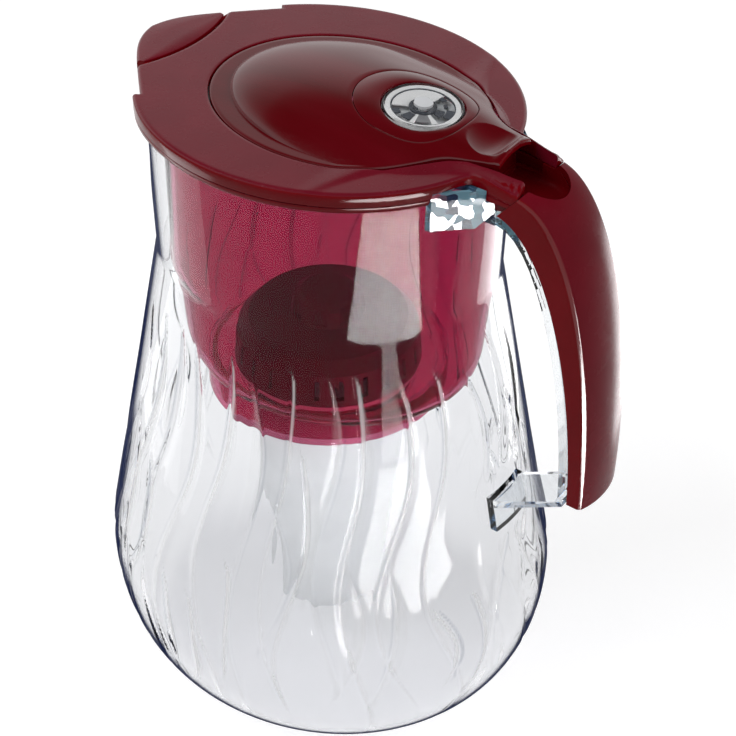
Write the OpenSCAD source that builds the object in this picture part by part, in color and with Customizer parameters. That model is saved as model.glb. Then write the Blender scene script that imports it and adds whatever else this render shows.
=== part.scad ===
// Water filter pitcher: a clear oval vessel with a clip-on handle cover, a drop-in funnel with a
// filter cartridge, and a lid with a flip-up filling hatch, a pouring flap and a use counter.
// X runs from the spout (-X) to the handle (+X), Z is up, and the origin is on the table
// under the middle of the vessel.

/* [Vessel] */
// Height of the vessel's rim
rim_z = 266; // [258:1:274]
// Half length of the rim, outside
rim_r = 72; // [70:0.5:74]
// How much narrower the neck is than the rim, on the half length
neck_in = 1.7; // [1:0.1:2.5]
// Height of the neck's lower edge
neck_z = 205; // [198:1:212]
// Half length of the belly
belly_r = 98; // [92:1:104]
// Height of the belly's widest ring
belly_z = 54; // [44:1:62]
// Half length of the flat base
base_r = 68; // [60:1:76]
// Wall of the vessel
vessel_wall = 2.4; // [2:0.1:3]
// Width over length at the base
oval_base = 0.92; // [0.88:0.01:0.96]
// Width over length at the rim
oval_rim = 0.863; // [0.85:0.001:0.88]

/* [Spout] */
// How far the spout's tip reaches past the rim, at the lid's edge
spout_out = 15; // [12:0.5:18]
// Where the spout's straight sides run: x and y add up to the rim's half length and this
spout_side = 24.4; // [23:0.1:26]
// Height at which the vessel starts to widen into the spout
spout_z = 226; // [218:1:234]

/* [Lid] */
// Thickness of the lid's plate
lid_t = 2.5; // [2:0.1:3]
// Depth of the rib that rests on the funnel's flange
lid_seat = 1.5; // [1:0.1:2]
// Depth of the lid's outer skirt below its top
skirt_h = 8.7; // [7:0.1:10]
// Wall of the skirt
skirt_wall = 2; // [1.6:0.1:2.4]
// How far the lid's top reaches past its skirt at the sides
lid_over = 2; // [1.5:0.1:2.5]
// Clearance between the skirt and the vessel
skirt_gap = 0.5; // [0.3:0.1:0.8]
// Width of the seam between moving covers
seam = 0.8; // [0.6:0.1:1]

/* [Hatch] */
// How much smaller than the rim the hatch's oval is, all round
hatch_inset = 17.7; // [16:0.1:20]
// Middle of the hatch's oval
hatch_x = 9.3; // [8:0.1:11]
// How far the thumb tab reaches past the rim
tab_out = 12; // [10:0.5:14]
// Half width of the thumb tab where it leaves the oval
tab_w = 13.4; // [12.5:0.1:14]
// Height of the dome above the lid's flat top
dome_h = 10.5; // [9:0.1:11]
// Shell thickness of the hatch
hatch_t = 2.2; // [1.8:0.1:2.6]
// How far the hatch axle lies past the rim's end
axle_out = 0; // [-0.4:0.1:0.6]
// Radius of the hatch axle
axle_r = 1.4; // [1.2:0.1:1.5]

/* [Counter] */
// Distance of the counter's middle from the rim's end
dial_in = 29.8; // [29:0.1:31]
// Height of the counter window's top
dial_z = 281.2; // [280.6:0.1:282]
// Lean of the counter towards the handle
dial_tilt = 5; // [3:0.5:7]
// Radius of the counter window
window_r = 14.9; // [14:0.1:15.4]
// Teeth of the ratchet wheel
ratchet_teeth = 24; // [20:4:28]
// Tip radius of the ratchet wheel
ratchet_r = 8.4; // [8:0.1:9]
// Travel of the reset button
button_travel = 1.2; // [0.8:0.1:1.4]

/* [Funnel] */
// Thickness of the funnel's walls
funnel_wall = 2; // [1.6:0.1:2.4]
// Thickness of the flange that rests on the rim
flange_t = 2; // [1.6:0.1:2.4]
// Clearance between the funnel and the vessel's neck
funnel_gap = 0.7; // [0.5:0.1:1]
// Height of the funnel's floor
floor_z = 156; // [150:1:162]
// Depth of the round sump under the floor
sump_h = 14; // [12:1:18]
// Room round the cartridge's cap in the sump
sump_room = 11; // [9:0.5:14]

/* [Cartridge] */
// Radius of the cartridge where it passes through the funnel
cartridge_r = 33.5; // [31:0.5:35]
// Radius of the cartridge at its foot
cartridge_foot_r = 23; // [20:0.5:26]
// Height of the cartridge's foot
cartridge_z = 25; // [18:1:32]
// Radius of the cartridge's cap
cap_r = 38; // [37.5:0.5:40]
// Wall of the cartridge
cartridge_wall = 1.8; // [1.4:0.1:2.2]
// Radial gap between the cartridge and its socket
socket_gap = 0.6; // [0.4:0.1:1]

/* [Handle] */
// Half width of the handle cover at the lid
cover_w = 15.4; // [15:0.1:16]
// Half width of the handle cover at its foot
cover_foot_w = 13.2; // [13.2:0.1:14]
// Wall of the handle cover
cover_wall = 2.2; // [1.8:0.1:2.6]
// Rise of the cover's back over its edges
cover_crown = 2.6; // [2:0.1:3.2]
// Half width of the clear frame
frame_w = 10.7; // [10:0.1:10.7]
// Wall of the clear frame
frame_wall = 2.4; // [2:0.1:3]
// Height of the handle's lower end
handle_foot_z = 142; // [138:1:146]
// Half width of the thumb well in the handle
well_w = 10.5; // [10:0.1:10.6]

/* [Hidden] */
$fn = 96;

// Running clearance of pins in their bores
fit = 0.05;
// Clearance between pieces that only sit in each other
loose = 0.3;

// ---- heights that follow from the sizes above ----
flange_z = rim_z + flange_t;
under_z = flange_z + lid_seat;
lid_z = under_z + lid_t;
skirt_z = lid_z - skirt_h;
axle_z = lid_z - 1;

// ---- the top follows the rim, the handle's lower end follows the belly ----
neck_r = rim_r - neck_in;
spout_reach = rim_r + spout_out;
spout_sum = rim_r + spout_side;
hatch_a = rim_r - hatch_inset;
hatch_b = rim_r * oval_rim - hatch_inset;
tab_x = rim_r + tab_out;
axle_x = rim_r + axle_out;
dial_x = rim_r - dial_in;
sump_r = cap_r + sump_room;

// ---- plan outlines, as distances from one pole along a ray at angle a ----
pole_x = rim_r - 34;
lid_a = rim_r + skirt_gap + skirt_wall + lid_over * 0.35;
lid_b = rim_r * oval_rim + skirt_gap + skirt_wall + lid_over;
// Angle around the pole, from the spout, at which the spout's sides meet the oval
ear_angle = 25;
// Corners of the spout where the pouring flap is cut off
flap_x = rim_r - 7.7;
flap_arc_r = 64;
root_x = rim_r + 19.7;
root_w = cover_w + 0.2;

// Distance from [px, 0] to an ellipse round [cx, 0] with half axes p and q
function ray_oval(px, a, cx, p, q) =
    let (dx = px - cx, c = cos(a) / p, s = sin(a) / q, e = dx / p,
        k = c * c + s * s, m = e * c, n = e * e - 1)
    (-m + sqrt(max(0, m * m - k * n))) / k;
// Distance from [px, 0] to the near side of a circle round [cx, 0]
function ray_near_circle(px, a, cx, r) =
    let (m = (px - cx) * cos(a), n = (px - cx) * (px - cx) - r * r, d = m * m - n)
    d < 0 ? 1e6 : -m - sqrt(d);
function ray_wall(k, d) = d > 1e-4 ? k / d : 1e6;
function soft_min(u, v, n) = pow(pow(u, -n) + pow(v, -n), -1 / n);
function soft_max(u, v, n) = pow(pow(u, n) + pow(v, n), 1 / n);
function ramp(x, lo, hi) = let (t = max(0, min(1, (x - lo) / (hi - lo)))) t * t * (3 - 2 * t);

// The spout's pointed plan, inset by d
function prow(px, a, d) = soft_min(
    ray_wall(spout_sum - d * sqrt(2) + px, abs(sin(a)) - cos(a)),
    ray_wall(spout_reach - d + px, -cos(a)), 24);
// The lid's whole plan with its spout and the root of the handle
function lid_plan(a) =
    let (strip = cos(a) < 0.05 ? 1 : min(ray_wall(root_w, abs(sin(a))), ray_wall(root_x - pole_x, cos(a))))
    abs(a - 180) < ear_angle ? prow(pole_x, a, 0)
    : soft_max(ray_oval(pole_x, a, 0, lid_a, lid_b), strip, 14);
// The same, with the pouring flap cut away
function lid_edge(a) = abs(a - 180) < ear_angle
    ? min(lid_plan(a), ray_near_circle(pole_x, a, -flap_x - flap_arc_r, flap_arc_r + seam))
    : lid_plan(a);
tab_taper = 0.16;
tab_root_x = rim_r - 10;
function hatch_plan(a) =
    let (side = ray_wall(tab_w + tab_taper * (tab_root_x - pole_x), abs(sin(a)) + tab_taper * cos(a)),
        end = ray_wall(tab_x - pole_x, cos(a)))
    soft_max(ray_oval(pole_x, a, hatch_x, hatch_a, hatch_b), cos(a) < 0.05 ? 1 : min(side, end), 12);
function bezel_plan(a) =
    let (n = cos(a) > 0 ? 2.6 : 2.0)
    pow(pow(abs(cos(a)) / 22.1, n) + pow(abs(sin(a)) / 18.8, n), -1 / n);
function window_plan(a) = ray_oval(pole_x, a, dial_x, window_r + loose, window_r + loose);

// ---- the lid's top: flat, with a dome over the hatch that runs back into the handle ----
dome_x = rim_r - 54;
dome_a = 56;
dome_b = 39;
ridge_h = 5.5;
ridge_w = 13.4;
ridge_x = rim_r - 42;
root_drop = 2.2;
function dome(x, y) = dome_h * sqrt(max(0, 1 - pow((x - dome_x) / dome_a, 2) - pow(y / dome_b, 2)));
function ridge(x, y) =
    let (w = ridge_w + 26 * exp(-(x - ridge_x - 15) / 14), s = 1 - pow(y / w, 2))
    x < ridge_x || s <= 0 ? 0 : ridge_h * ramp(x, ridge_x, tab_root_x) * pow(s * ramp(s, 0, 0.3), 0.6);
function top_z(x, y) = lid_z + pow(pow(dome(x, y), 4) + pow(ridge(x, y), 4), 0.25)
    - root_drop * ramp(x, axle_x + 2, axle_x + 20);
// The thumb's hollow and the lip behind it, on the hatch only
function thumb(x, y) = -2.2 * exp(-pow((x - axle_x - 1) / 7, 2) - pow(y / 8, 2))
    + 1.8 * ramp(x, tab_x - 5, tab_x) * max(0, 1 - pow(y / 13, 2));
function tab_z(x, y) = top_z(x, y) + thumb(x, y);

// ---- lofts ----
// A closed tube of rings, each a list of points, that joins up with its own start
module ring_loft(rings) {
    n = len(rings);
    m = len(rings[0]);
    polyhedron([for (r = rings, p = r) p],
        [for (i = [0 : n - 1], j = [0 : m - 1])
            let (a = i * m + j, b = i * m + (j + 1) % m,
                c = ((i + 1) % n) * m + (j + 1) % m, d = ((i + 1) % n) * m + j)
            each [[a, c, b], [a, d, c]]], convexity = 8);
}
// A tube of rings with flat ends, each made of the faces in cap
module capped_loft(rings, cap = []) {
    n = len(rings);
    m = len(rings[0]);
    ends = len(cap) > 0 ? cap : [[for (j = [0 : m - 1]) j]];
    polyhedron([for (r = rings, p = r) p],
        concat(ends,
            [for (i = [0 : n - 2], j = [0 : m - 1])
                let (a = i * m + j, b = i * m + (j + 1) % m, c = b + m, d = a + m)
                each [[a, c, b], [a, d, c]]],
            [for (f = ends) [for (j = [len(f) - 1 : -1 : 0]) (n - 1) * m + f[j]]]), convexity = 8);
}
function bezier(p, t) = let (s = 1 - t)
    s * s * s * p[0] + 3 * s * s * t * p[1] + 3 * s * t * t * p[2] + t * t * t * p[3];
function unit(v) = v / norm(v);
function right_angles(n) = [for (i = [0 : n - 1]) 360 * i / n];

// ---- vessel ----
cone_slope = 0.195;
belly_arc = 70;
arc_tilt = atan(cone_slope);
function oval_at(z) = oval_base + (oval_rim - oval_base) * z / rim_z;
// Half length of the vessel at height z
function vessel_r(z) =
    let (arc_z = belly_z + belly_arc * sin(arc_tilt),
        drop = (neck_r + cone_slope * (neck_z - arc_z))
            - (belly_r - belly_arc * (1 - cos(arc_tilt))))
    z <= belly_z ? base_r + (belly_r - base_r) * sqrt(max(0, 1 - pow(1 - z / belly_z, 2)))
    : z <= arc_z ? belly_r - belly_arc + sqrt(pow(belly_arc, 2) - pow(z - belly_z, 2))
    : z <= neck_z ? neck_r + cone_slope * (neck_z - z)
        - drop * (neck_z - z) / (neck_z - arc_z)
    : neck_r + (rim_r - neck_r) * (z - neck_z) / (rim_z - neck_z);
// One level ring of the vessel, inset by d
function vessel_ring(z, d, lift) =
    [for (a = right_angles(48))
        let (r = vessel_r(z) - d, q = vessel_r(z) * oval_at(z) - d,
            oval = r * q / sqrt(pow(q * cos(a), 2) + pow(r * sin(a), 2)),
            peak = prow(0, a, skirt_wall + skirt_gap + d),
            s = abs(a - 180) < 38 ? ramp(z, spout_z, rim_z - 4) : 0,
            k = oval + (peak - oval) * s)
        [k * cos(a), k * sin(a), z + lift]];
body_turns = [0, 12, 26, 42, 60, 78, 90];
upper_levels = [66, 80, 112, 144, 176, neck_z, spout_z, 236, 246, 256, rim_z];
module jug() {
    lower = [for (t = body_turns) belly_z * (1 - cos(t))];
    outer = [for (z = concat(lower, upper_levels)) vessel_ring(z, 0, 0)];
    inner = [for (i = [len(upper_levels) - 1 : -1 : 0])
        vessel_ring(upper_levels[i], vessel_wall, 0)];
    bowl = [for (i = [len(lower) - 1 : -1 : 1])
        vessel_ring(lower[i], vessel_wall, i > 2 ? 0 : vessel_wall * (3 - i) / 3)];
    color("aliceblue", 0.35)
        capped_loft(concat(outer, inner, bowl));
}

// ---- funnel ----
funnel_x = 2.5;
socket_r = cartridge_r + socket_gap;
socket_wall = 2.2;
seat_z = floor_z - 6;
function funnel_ring(z, r, q, x) =
    [for (a = right_angles(48))
        let (oval = r * q / sqrt(pow(q * cos(a), 2) + pow(r * sin(a), 2)),
            flat = ray_wall(rim_r - 10 + (r - rim_r) * 0.5, -cos(a)),
            side = x == 0 ? ray_wall(spout_sum - sqrt(2) * (skirt_wall + skirt_gap + rim_r - r),
                abs(sin(a)) - cos(a)) : oval, k = min(oval, flat, side))
        [x + k * cos(a), k * sin(a), z]];
module funnel() {
    fr = neck_r - vessel_wall - funnel_gap;
    fq = neck_r * oval_at(neck_z) - vessel_wall - funnel_gap;
    top_r = rim_r - 0.9;
    top_q = rim_r * oval_rim - 0.9;
    outside = [
        [floor_z - 1, sump_r - 2, sump_r - 4, 1.5], [floor_z - 1, sump_r + 5, sump_r - 1, funnel_x],
        [floor_z + 3, fr - 7.2, fq - 6.5, funnel_x], [floor_z + 11, fr - 4.7, fq - 4.5, funnel_x],
        [neck_z - 9, fr - 2.7, fq - 3, funnel_x],
        [neck_z, fr, fq, 0], [rim_z - 1, fr + 0.4, fq + 0.4, 0], [rim_z, fr + 0.4, fq + 0.4, 0],
        [rim_z, top_r, top_q, 0], [flange_z, top_r, top_q, 0]];
    w = funnel_wall;
    inside = [
        [flange_z, fr - w, fq - w, 0], [neck_z, fr - w, fq - w, 0],
        [neck_z - 9, fr - 2.7 - w, fq - 3 - w, funnel_x],
        [floor_z + 11, fr - 4.7 - w, fq - 4.5 - w, funnel_x],
        [floor_z + 4, fr - 7.2 - w, fq - 6.5 - w, funnel_x],
        [floor_z + 1, sump_r + 5 - w, sump_r - 1 - w, funnel_x],
        [floor_z + 1, sump_r - 2, sump_r - 4, 1.5]];
    color("crimson", 0.6) {
        ring_loft([for (p = concat(outside, inside)) funnel_ring(p[0], p[1], p[2], p[3])]);
        // round sump with the cartridge's socket
        rotate_extrude() polygon([
            [socket_r, floor_z - sump_h], [sump_r - 1, floor_z - sump_h], [sump_r, floor_z - sump_h + 1],
            [sump_r, floor_z], [sump_r - w, floor_z], [sump_r - w, floor_z - sump_h + w],
            [socket_r + socket_wall, floor_z - sump_h + w], [socket_r + socket_wall, seat_z],
            [socket_r, seat_z]]);
    }
}

// ---- cartridge ----
bed_top = seat_z - 1;
module cartridge_shell() {
    w = cartridge_wall;
    mid_z = 105;
    mid_r = 30.5;
    socket_low = floor_z - sump_h - 3;
    color("whitesmoke") difference() {
        rotate_extrude() polygon([
            [0, cartridge_z], [cartridge_foot_r - 2, cartridge_z], [cartridge_foot_r, cartridge_z + 2],
            [mid_r, mid_z], [cartridge_r - 0.4, socket_low], [cartridge_r - 0.4, seat_z],
            [cap_r - 1, seat_z], [cap_r - 1, seat_z + 2], [cartridge_r - w, seat_z + 2],
            [cartridge_r - w - 0.4, socket_low], [mid_r - w, mid_z],
            [cartridge_foot_r - w, cartridge_z + 4], [cartridge_foot_r - w - 1, cartridge_z + w],
            [0, cartridge_z + w]]);
        // outlet holes in the foot
        for (ring = [[0, 1], [7, 6], [14, 12]])
            for (i = [0 : ring[1] - 1])
                rotate(360 * i / ring[1]) translate([ring[0], 0, cartridge_z - 1])
                    cylinder(r = 1.4, h = w + 2, $fn = 24);
        // groove for the sealing ring
        translate([0, 0, seat_z - 6]) rotate_extrude()
            translate([cartridge_r - 0.4, 0]) circle(r = 1.1, $fn = 32);
    }
}
module cartridge_ring() {
    color("dimgray") translate([0, 0, seat_z - 6]) rotate_extrude()
        translate([cartridge_r - 0.4, 0]) circle(r = 0.95, $fn = 32);
}
cap_z = seat_z + 2;
cap_h = 20;
module cartridge_cap() {
    color([0.13, 0.10, 0.13]) difference() {
        rotate_extrude() polygon([
            [cap_r - 1, cap_z], [cap_r, cap_z + 1], [cap_r - 1.5, cap_z + cap_h - 5],
            [cap_r - 6, cap_z + cap_h], [15, cap_z + cap_h + 2], [14, cap_z + cap_h + 9],
            [11, cap_z + cap_h + 11], [0, cap_z + cap_h + 11], [0, cap_z + cap_h + 9],
            [12, cap_z + cap_h + 8], [12.5, cap_z + cap_h - 0.5], [cap_r - 7, cap_z + cap_h - 2],
            [cap_r - 3.4, cap_z + cap_h - 6], [cap_r - 2.6, cap_z]]);
        // inlet slots round the side
        for (i = [0 : 23])
            rotate(15 * i) translate([cap_r - 6, -1, cap_z + 4]) cube([10, 2, 9]);
        // grip scallops of the knob
        for (i = [0 : 7])
            rotate(45 * i + 22.5) translate([16.6, 0, cap_z + cap_h + 3]) cylinder(r = 4, h = 12, $fn = 32);
    }
}
module sorbent_bed() {
    w = cartridge_wall + loose;
    color([0.16, 0.16, 0.17]) rotate_extrude() polygon([
        [0, cartridge_z + 6], [cartridge_foot_r - w - 1, cartridge_z + 6], [30.5 - w, 105],
        [cartridge_r - w - 0.6, floor_z - sump_h - 3], [cartridge_r - w - 0.6, bed_top - 3],
        [0, bed_top - 3]]);
}
module screen(r, z) {
    color("gainsboro") difference() {
        translate([0, 0, z]) cylinder(r = r, h = 1.2);
        for (i = [0 : 11]) rotate(30 * i) translate([r * 0.6, 0, z - 1]) cylinder(r = 2, h = 4, $fn = 24);
    }
}
module upper_screen() { screen(cartridge_r - cartridge_wall - 0.7, bed_top - 2.9); }
module lower_screen() {
    screen(cartridge_foot_r - cartridge_wall - 1.2, cartridge_z + cartridge_wall + 2.6);
}

// ---- lid ----
edge_round = 1.6;
function mirrored(v) = concat(v, [180], [for (i = [len(v) - 1 : -1 : 1]) 360 - v[i]]);
lid_angles = mirrored([0, 5, 10, 14, 18, 23, 28, 34, 41, 49, 58, 68, 78, 88, 98, 108, 118, 128, 138, 147,
    154.9, 155.1, 158, 161, 164, 166, 166.6, 168.5, 171, 173.2, 175, 177.5]);
function seam_at(a) = seam + 0.3 * ramp(cos(a), 0.2, 0.8);
function at_pole(a, r, z) = [pole_x + r * cos(a), r * sin(a), z];
function on_top(a, r, d) = at_pole(a, r, top_z(pole_x + r * cos(a), r * sin(a)) - d);
// Ledge under the hatch's edge, which fades out towards the axle
ledge_w = 2.6;
ledge_z = lid_z - hatch_t - 0.3;
ledge_low = flange_z + 0.3;
// How far the foot of the skirt lies inside the lid's top edge
function skirt_in(a) =
    lid_over * (0.35 + 0.65 * abs(sin(a))) * ramp(abs(a - 180), ear_angle, ear_angle + 20);
function lid_section(a) =
    let (ri = hatch_plan(a) + seam_at(a), ro = lid_edge(a), cut = ro < lid_plan(a) - 0.3,
        low = cut ? under_z - 0.3 : skirt_z, seat = cut ? under_z - 0.15 : flange_z,
        rb = ro - skirt_in(a), rs = rb - skirt_wall, rr = max(ri + 0.6, rs - 4), span = ro - edge_round - ri,
        rl = ri - ledge_w * (1 - ramp(cos(a), 0.3, 0.75)) - 0.05)
    [on_top(a, ri, 0), on_top(a, ri + span * 0.3, 0), on_top(a, ri + span * 0.65, 0),
        on_top(a, ro - edge_round, 0), on_top(a, ro - edge_round * 0.3, edge_round * 0.3),
        on_top(a, ro, edge_round), at_pole(a, rb, low), at_pole(a, rs, low),
        at_pole(a, rs, seat), at_pole(a, rr, seat), at_pole(a, rr - 0.3, ledge_low),
        at_pole(a, rl, ledge_low), at_pole(a, rl, ledge_z), at_pole(a, ri, ledge_z)];
function tab_half(x) = tab_w - tab_taper * (x - tab_root_x);
lug_y = tab_half(axle_x) + 0.8;
lug_w = 2.6;
module axle_lugs() {
    for (s = [-1, 1])
        translate([axle_x - 4, s > 0 ? lug_y : -lug_y - lug_w, ledge_low])
            cube([8, lug_w, lid_z - ledge_low]);
}
module lid() {
    color([0.45, 0.05, 0.1]) difference() {
        union() {
            ring_loft([for (a = lid_angles) lid_section(a)]);
            axle_lugs();
        }
        // room for the thumb tab
        translate([0, 0, skirt_z - 2]) linear_extrude(40) polygon([
            [axle_x - 6, -tab_half(axle_x - 6) - 0.6], [axle_x + 20, -well_w - 0.1],
            [axle_x + 20, well_w + 0.1], [axle_x - 6, tab_half(axle_x - 6) + 0.6]]);
        // slanted end that meets the top of the handle cover
        side_plate(30, [[rim_r + 9.95, rim_z - 9.5], [cover_start[0] - 0.35, cover_start[1] + 0.2],
            [root_x + 0.05, rim_z + 2.7], [root_x + 5.7, rim_z + 9.5], [root_x + 14, rim_z + 9.5],
            [root_x + 14, rim_z - 9.5]]);
        // room beside the root for the wings of the clear frame
        for (s = [-1, 1])
            translate([rim_r - 10, s > 0 ? root_w + 0.01 : -wing_y - 0.4, skirt_z - 1])
                cube([28, wing_y + 0.39 - root_w, flange_z + 0.4 - skirt_z + 1]);
        translate([axle_x, 0, axle_z]) rotate([90, 0, 0])
            cylinder(r = axle_r + fit, h = 2 * axle_half + 0.4, center = true);
        // bores for the pouring flap's stub pins
        translate([-flap_pin_x, 0, flap_pin_z]) rotate([90, 0, 0])
            cylinder(r = flap_pin_r + fit, h = 2 * flap_pin_y + 0.4, center = true);
        // room for the ends of the flap to swing
        for (s = [-1, 1])
            translate([-flap_pin_x, s * (flap_pin_root + 3.6), flap_pin_z]) rotate([90, 0, 0])
                cylinder(r = 2.3, h = 7.2, center = true, $fn = 32);
    }
}
axle_half = lug_y + lug_w - 0.6;
module hatch_axle() {
    color("silver") translate([axle_x, 0, axle_z]) rotate([90, 0, 0])
        cylinder(r = axle_r, h = 2 * axle_half, center = true);
}

// ---- pouring flap ----
flap_pin_r = 1.1;
flap_pin_x = flap_x + 4;
flap_pin_z = lid_z - 1.7;
flap_pin_y = 26.6;
flap_pin_root = 17;
function flap_outer(a) = prow(pole_x, a, 0);
function flap_inner(a) = ray_near_circle(pole_x, a, -flap_x - flap_arc_r, flap_arc_r);
flap_angles = [167.6, 168.5, 170, 171.5, 173, 174.5, 176, 178, 180, 182, 184, 185.5, 187, 188.5, 190,
    191.5, 192.4];
module spout_flap() {
    t = 2;
    rows = [for (a = flap_angles)
        let (ri = flap_inner(a), ro = max(ri + 2.8, flap_outer(a)))
        [at_pole(a, ri, lid_z), at_pole(a, ro - edge_round, lid_z), at_pole(a, ro, lid_z - edge_round),
            at_pole(a, ro, lid_z - 4), at_pole(a, ro - 1.6, lid_z - 4), at_pole(a, ro - 1.7, lid_z - t),
            at_pole(a, ri, lid_z - t)]];
    color([0.45, 0.05, 0.1]) union() {
        capped_loft(rows, [[0, 1, 6], [1, 5, 6], [1, 2, 5], [2, 3, 5], [3, 4, 5]]);
        for (s = [-1, 1])
            translate([-flap_pin_x, s * (flap_pin_y + flap_pin_root) / 2, flap_pin_z]) rotate([90, 0, 0])
                cylinder(r = flap_pin_r, h = flap_pin_y - flap_pin_root, center = true);
    }
}

// ---- hatch ----
hatch_angles = mirrored([0, 6, 12, 15.5, 19, 23, 27, 31, 36, 42, 49, 58, 68, 78, 88, 98, 108, 118,
    128, 138, 148, 158, 169]);
bezel_gap = 0.15;
rise_steps = [0, 0.4, 0.72, 0.92, 1];
function hatch_point(a, r, d) =
    at_pole(a, r, tab_z(pole_x + r * cos(a), r * sin(a)) - d);
function hatch_section(a) =
    let (ri = bezel_plan(a) + bezel_gap, ro = hatch_plan(a),
        rc = min(ro - 1.5, ray_oval(pole_x, a, dome_x, dome_a, dome_b)),
        rows = concat([for (k = rise_steps) ri + (rc - ri) * k], [ro]), n = len(rows) - 1)
    concat([for (r = rows) hatch_point(a, r, 0)],
        [for (i = [n : -1 : 0]) hatch_point(a, rows[i], hatch_t)]);
barrel_r = 2.6;
barrel_half = tab_half(axle_x) - 0.4;
module hatch() {
    color([0.45, 0.05, 0.1]) difference() {
        union() {
            ring_loft([for (a = hatch_angles) hatch_section(a)]);
            // barrel that turns on the axle, and the webs that carry it
            translate([axle_x, 0, axle_z]) rotate([90, 0, 0])
                cylinder(r = barrel_r, h = 2 * barrel_half, center = true);
            for (s = [-1, 1])
                translate([axle_x - 2, s * 8.4 - 2, axle_z]) cube([4, 4, 3.6]);
        }
        translate([axle_x, 0, axle_z]) rotate([90, 0, 0])
            cylinder(r = axle_r + fit, h = 40, center = true);
    }
}

// ---- counter, in its own leaning frame with z = 0 at the window's top ----
module at_dial() { translate([dial_x, 0, dial_z]) rotate([0, dial_tilt, 0]) children(); }
// Height in the pitcher's frame of a plane that lies h over the counter's own z = 0
function counter_plane(x, h) = dial_z + h / cos(dial_tilt) - (x - dial_x) * tan(dial_tilt);
glass_low = -4.6;
glass_flange = 1;
cup_top = glass_low - glass_flange;
cup_low = -12;
cup_floor = -10.6;
wheel_low = -9.9;
wheel_t = 2;
dial_low = -5.3;
dial_t = 1;
spindle_r = 2;
spindle_top = -3.9;
button_r = 3.4;
cup_r = window_r + 1.8;
module counter_bezel() {
    collar = 2;
    color([0.45, 0.05, 0.1]) ring_loft([for (a = right_angles(48))
        let (ri = window_plan(a), ro = bezel_plan(a), rc = min(ri + collar, ro - 0.5))
        [on_top(a, ri, 0), on_top(a, ro, 0), on_top(a, ro, hatch_t),
            on_top(a, min(rc + 0.4, ro - 0.3), hatch_t),
            at_pole(a, rc, counter_plane(pole_x + rc * cos(a), glass_low + 2 * fit)),
            at_pole(a, ri, counter_plane(pole_x + ri * cos(a), glass_low + 2 * fit))]]);
}
module counter_window() {
    glass_t = 1.4;
    color("white", 0.3) at_dial() rotate_extrude() polygon([
        [button_r + 0.2, -glass_t], [button_r + 0.2, 0.3], [9, 0.2], [window_r - 1, 0], [window_r, -0.8],
        [window_r, glass_low], [cup_r, glass_low], [cup_r, cup_top], [window_r - 1.3, cup_top],
        [window_r - 1.3, -glass_t]]);
}
module counter_housing() {
    color("whitesmoke") at_dial() difference() {
        union() {
            difference() {
                translate([0, 0, cup_low]) cylinder(r = cup_r, h = cup_top - cup_low);
                translate([0, 0, cup_floor]) cylinder(r = window_r, h = 20);
            }
            // collar and hollow spindle that the wheel turns on
            translate([0, 0, cup_floor - 0.5]) cylinder(r = 3, h = wheel_low - cup_floor + 0.45);
            translate([0, 0, cup_floor - 0.5]) cylinder(r = spindle_r, h = spindle_top - cup_floor + 0.5);
        }
        translate([0, 0, cup_floor]) cylinder(r = 1 + fit, h = 20);
    }
}
module counter_dial() {
    color("white") at_dial() difference() {
        translate([0, 0, dial_low]) cylinder(r = window_r - 1.9, h = dial_t);
        translate([0, 0, dial_low - 1]) cylinder(r = spindle_r + fit, h = 4);
        // ring of reading windows
        for (i = [0 : 11])
            rotate(30 * i) translate([9.6, 0, dial_low - 1]) cylinder(r = 1.1, h = 4, $fn = 32);
    }
}
module ratchet_wheel() {
    step = 360 / ratchet_teeth;
    root = ratchet_r - 0.9;
    color("darkgray") at_dial() difference() {
        union() {
            translate([0, 0, wheel_low]) linear_extrude(wheel_t)
                polygon([for (i = [0 : ratchet_teeth - 1]) each [
                    [ratchet_r * cos(i * step), ratchet_r * sin(i * step)],
                    [root * cos((i + 0.15) * step), root * sin((i + 0.15) * step)]]]);
            translate([0, 0, wheel_low + wheel_t]) cylinder(r = 3.6, h = dial_low - wheel_low - wheel_t);
        }
        translate([0, 0, wheel_low - 1]) cylinder(r = spindle_r + fit, h = 10);
    }
}
// Leaf spring with a barb that drops between the wheel's teeth
module check_spring() {
    y = -ratchet_r - 0.35;
    color("silver") at_dial() {
        translate([0, 0, wheel_low]) linear_extrude(wheel_t) polygon([
            [-10.6, y - 0.45], [0.9, y - 0.45], [0.8, y + 0.9], [0.35, y + 0.9], [0.3, y], [-10.6, y]]);
        translate([-11, y - 0.85, cup_floor]) cube([1.5, 1.3, wheel_low + wheel_t - cup_floor]);
    }
}
module counter_button() {
    color("silver") at_dial() {
        translate([0, 0, -1.2]) cylinder(r = button_r, h = 2.2);
        translate([0, 0, -8.6]) cylinder(r = 1, h = 8);
    }
}
module button_spring() {
    turns = 3;
    wire = 0.22;
    coil_r = 1.55;
    low = spindle_top + wire;
    high = -1.2 - wire;
    steps = 30;
    color("gray") at_dial() capped_loft([for (i = [0 : steps])
        let (t = i / steps, a = 360 * turns * t)
        [for (k = [0 : 4])
            let (r = coil_r + wire * cos(72 * k))
            [r * cos(a), r * sin(a), low + (high - low) * t - wire * sin(72 * k)]]]);
}

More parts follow.
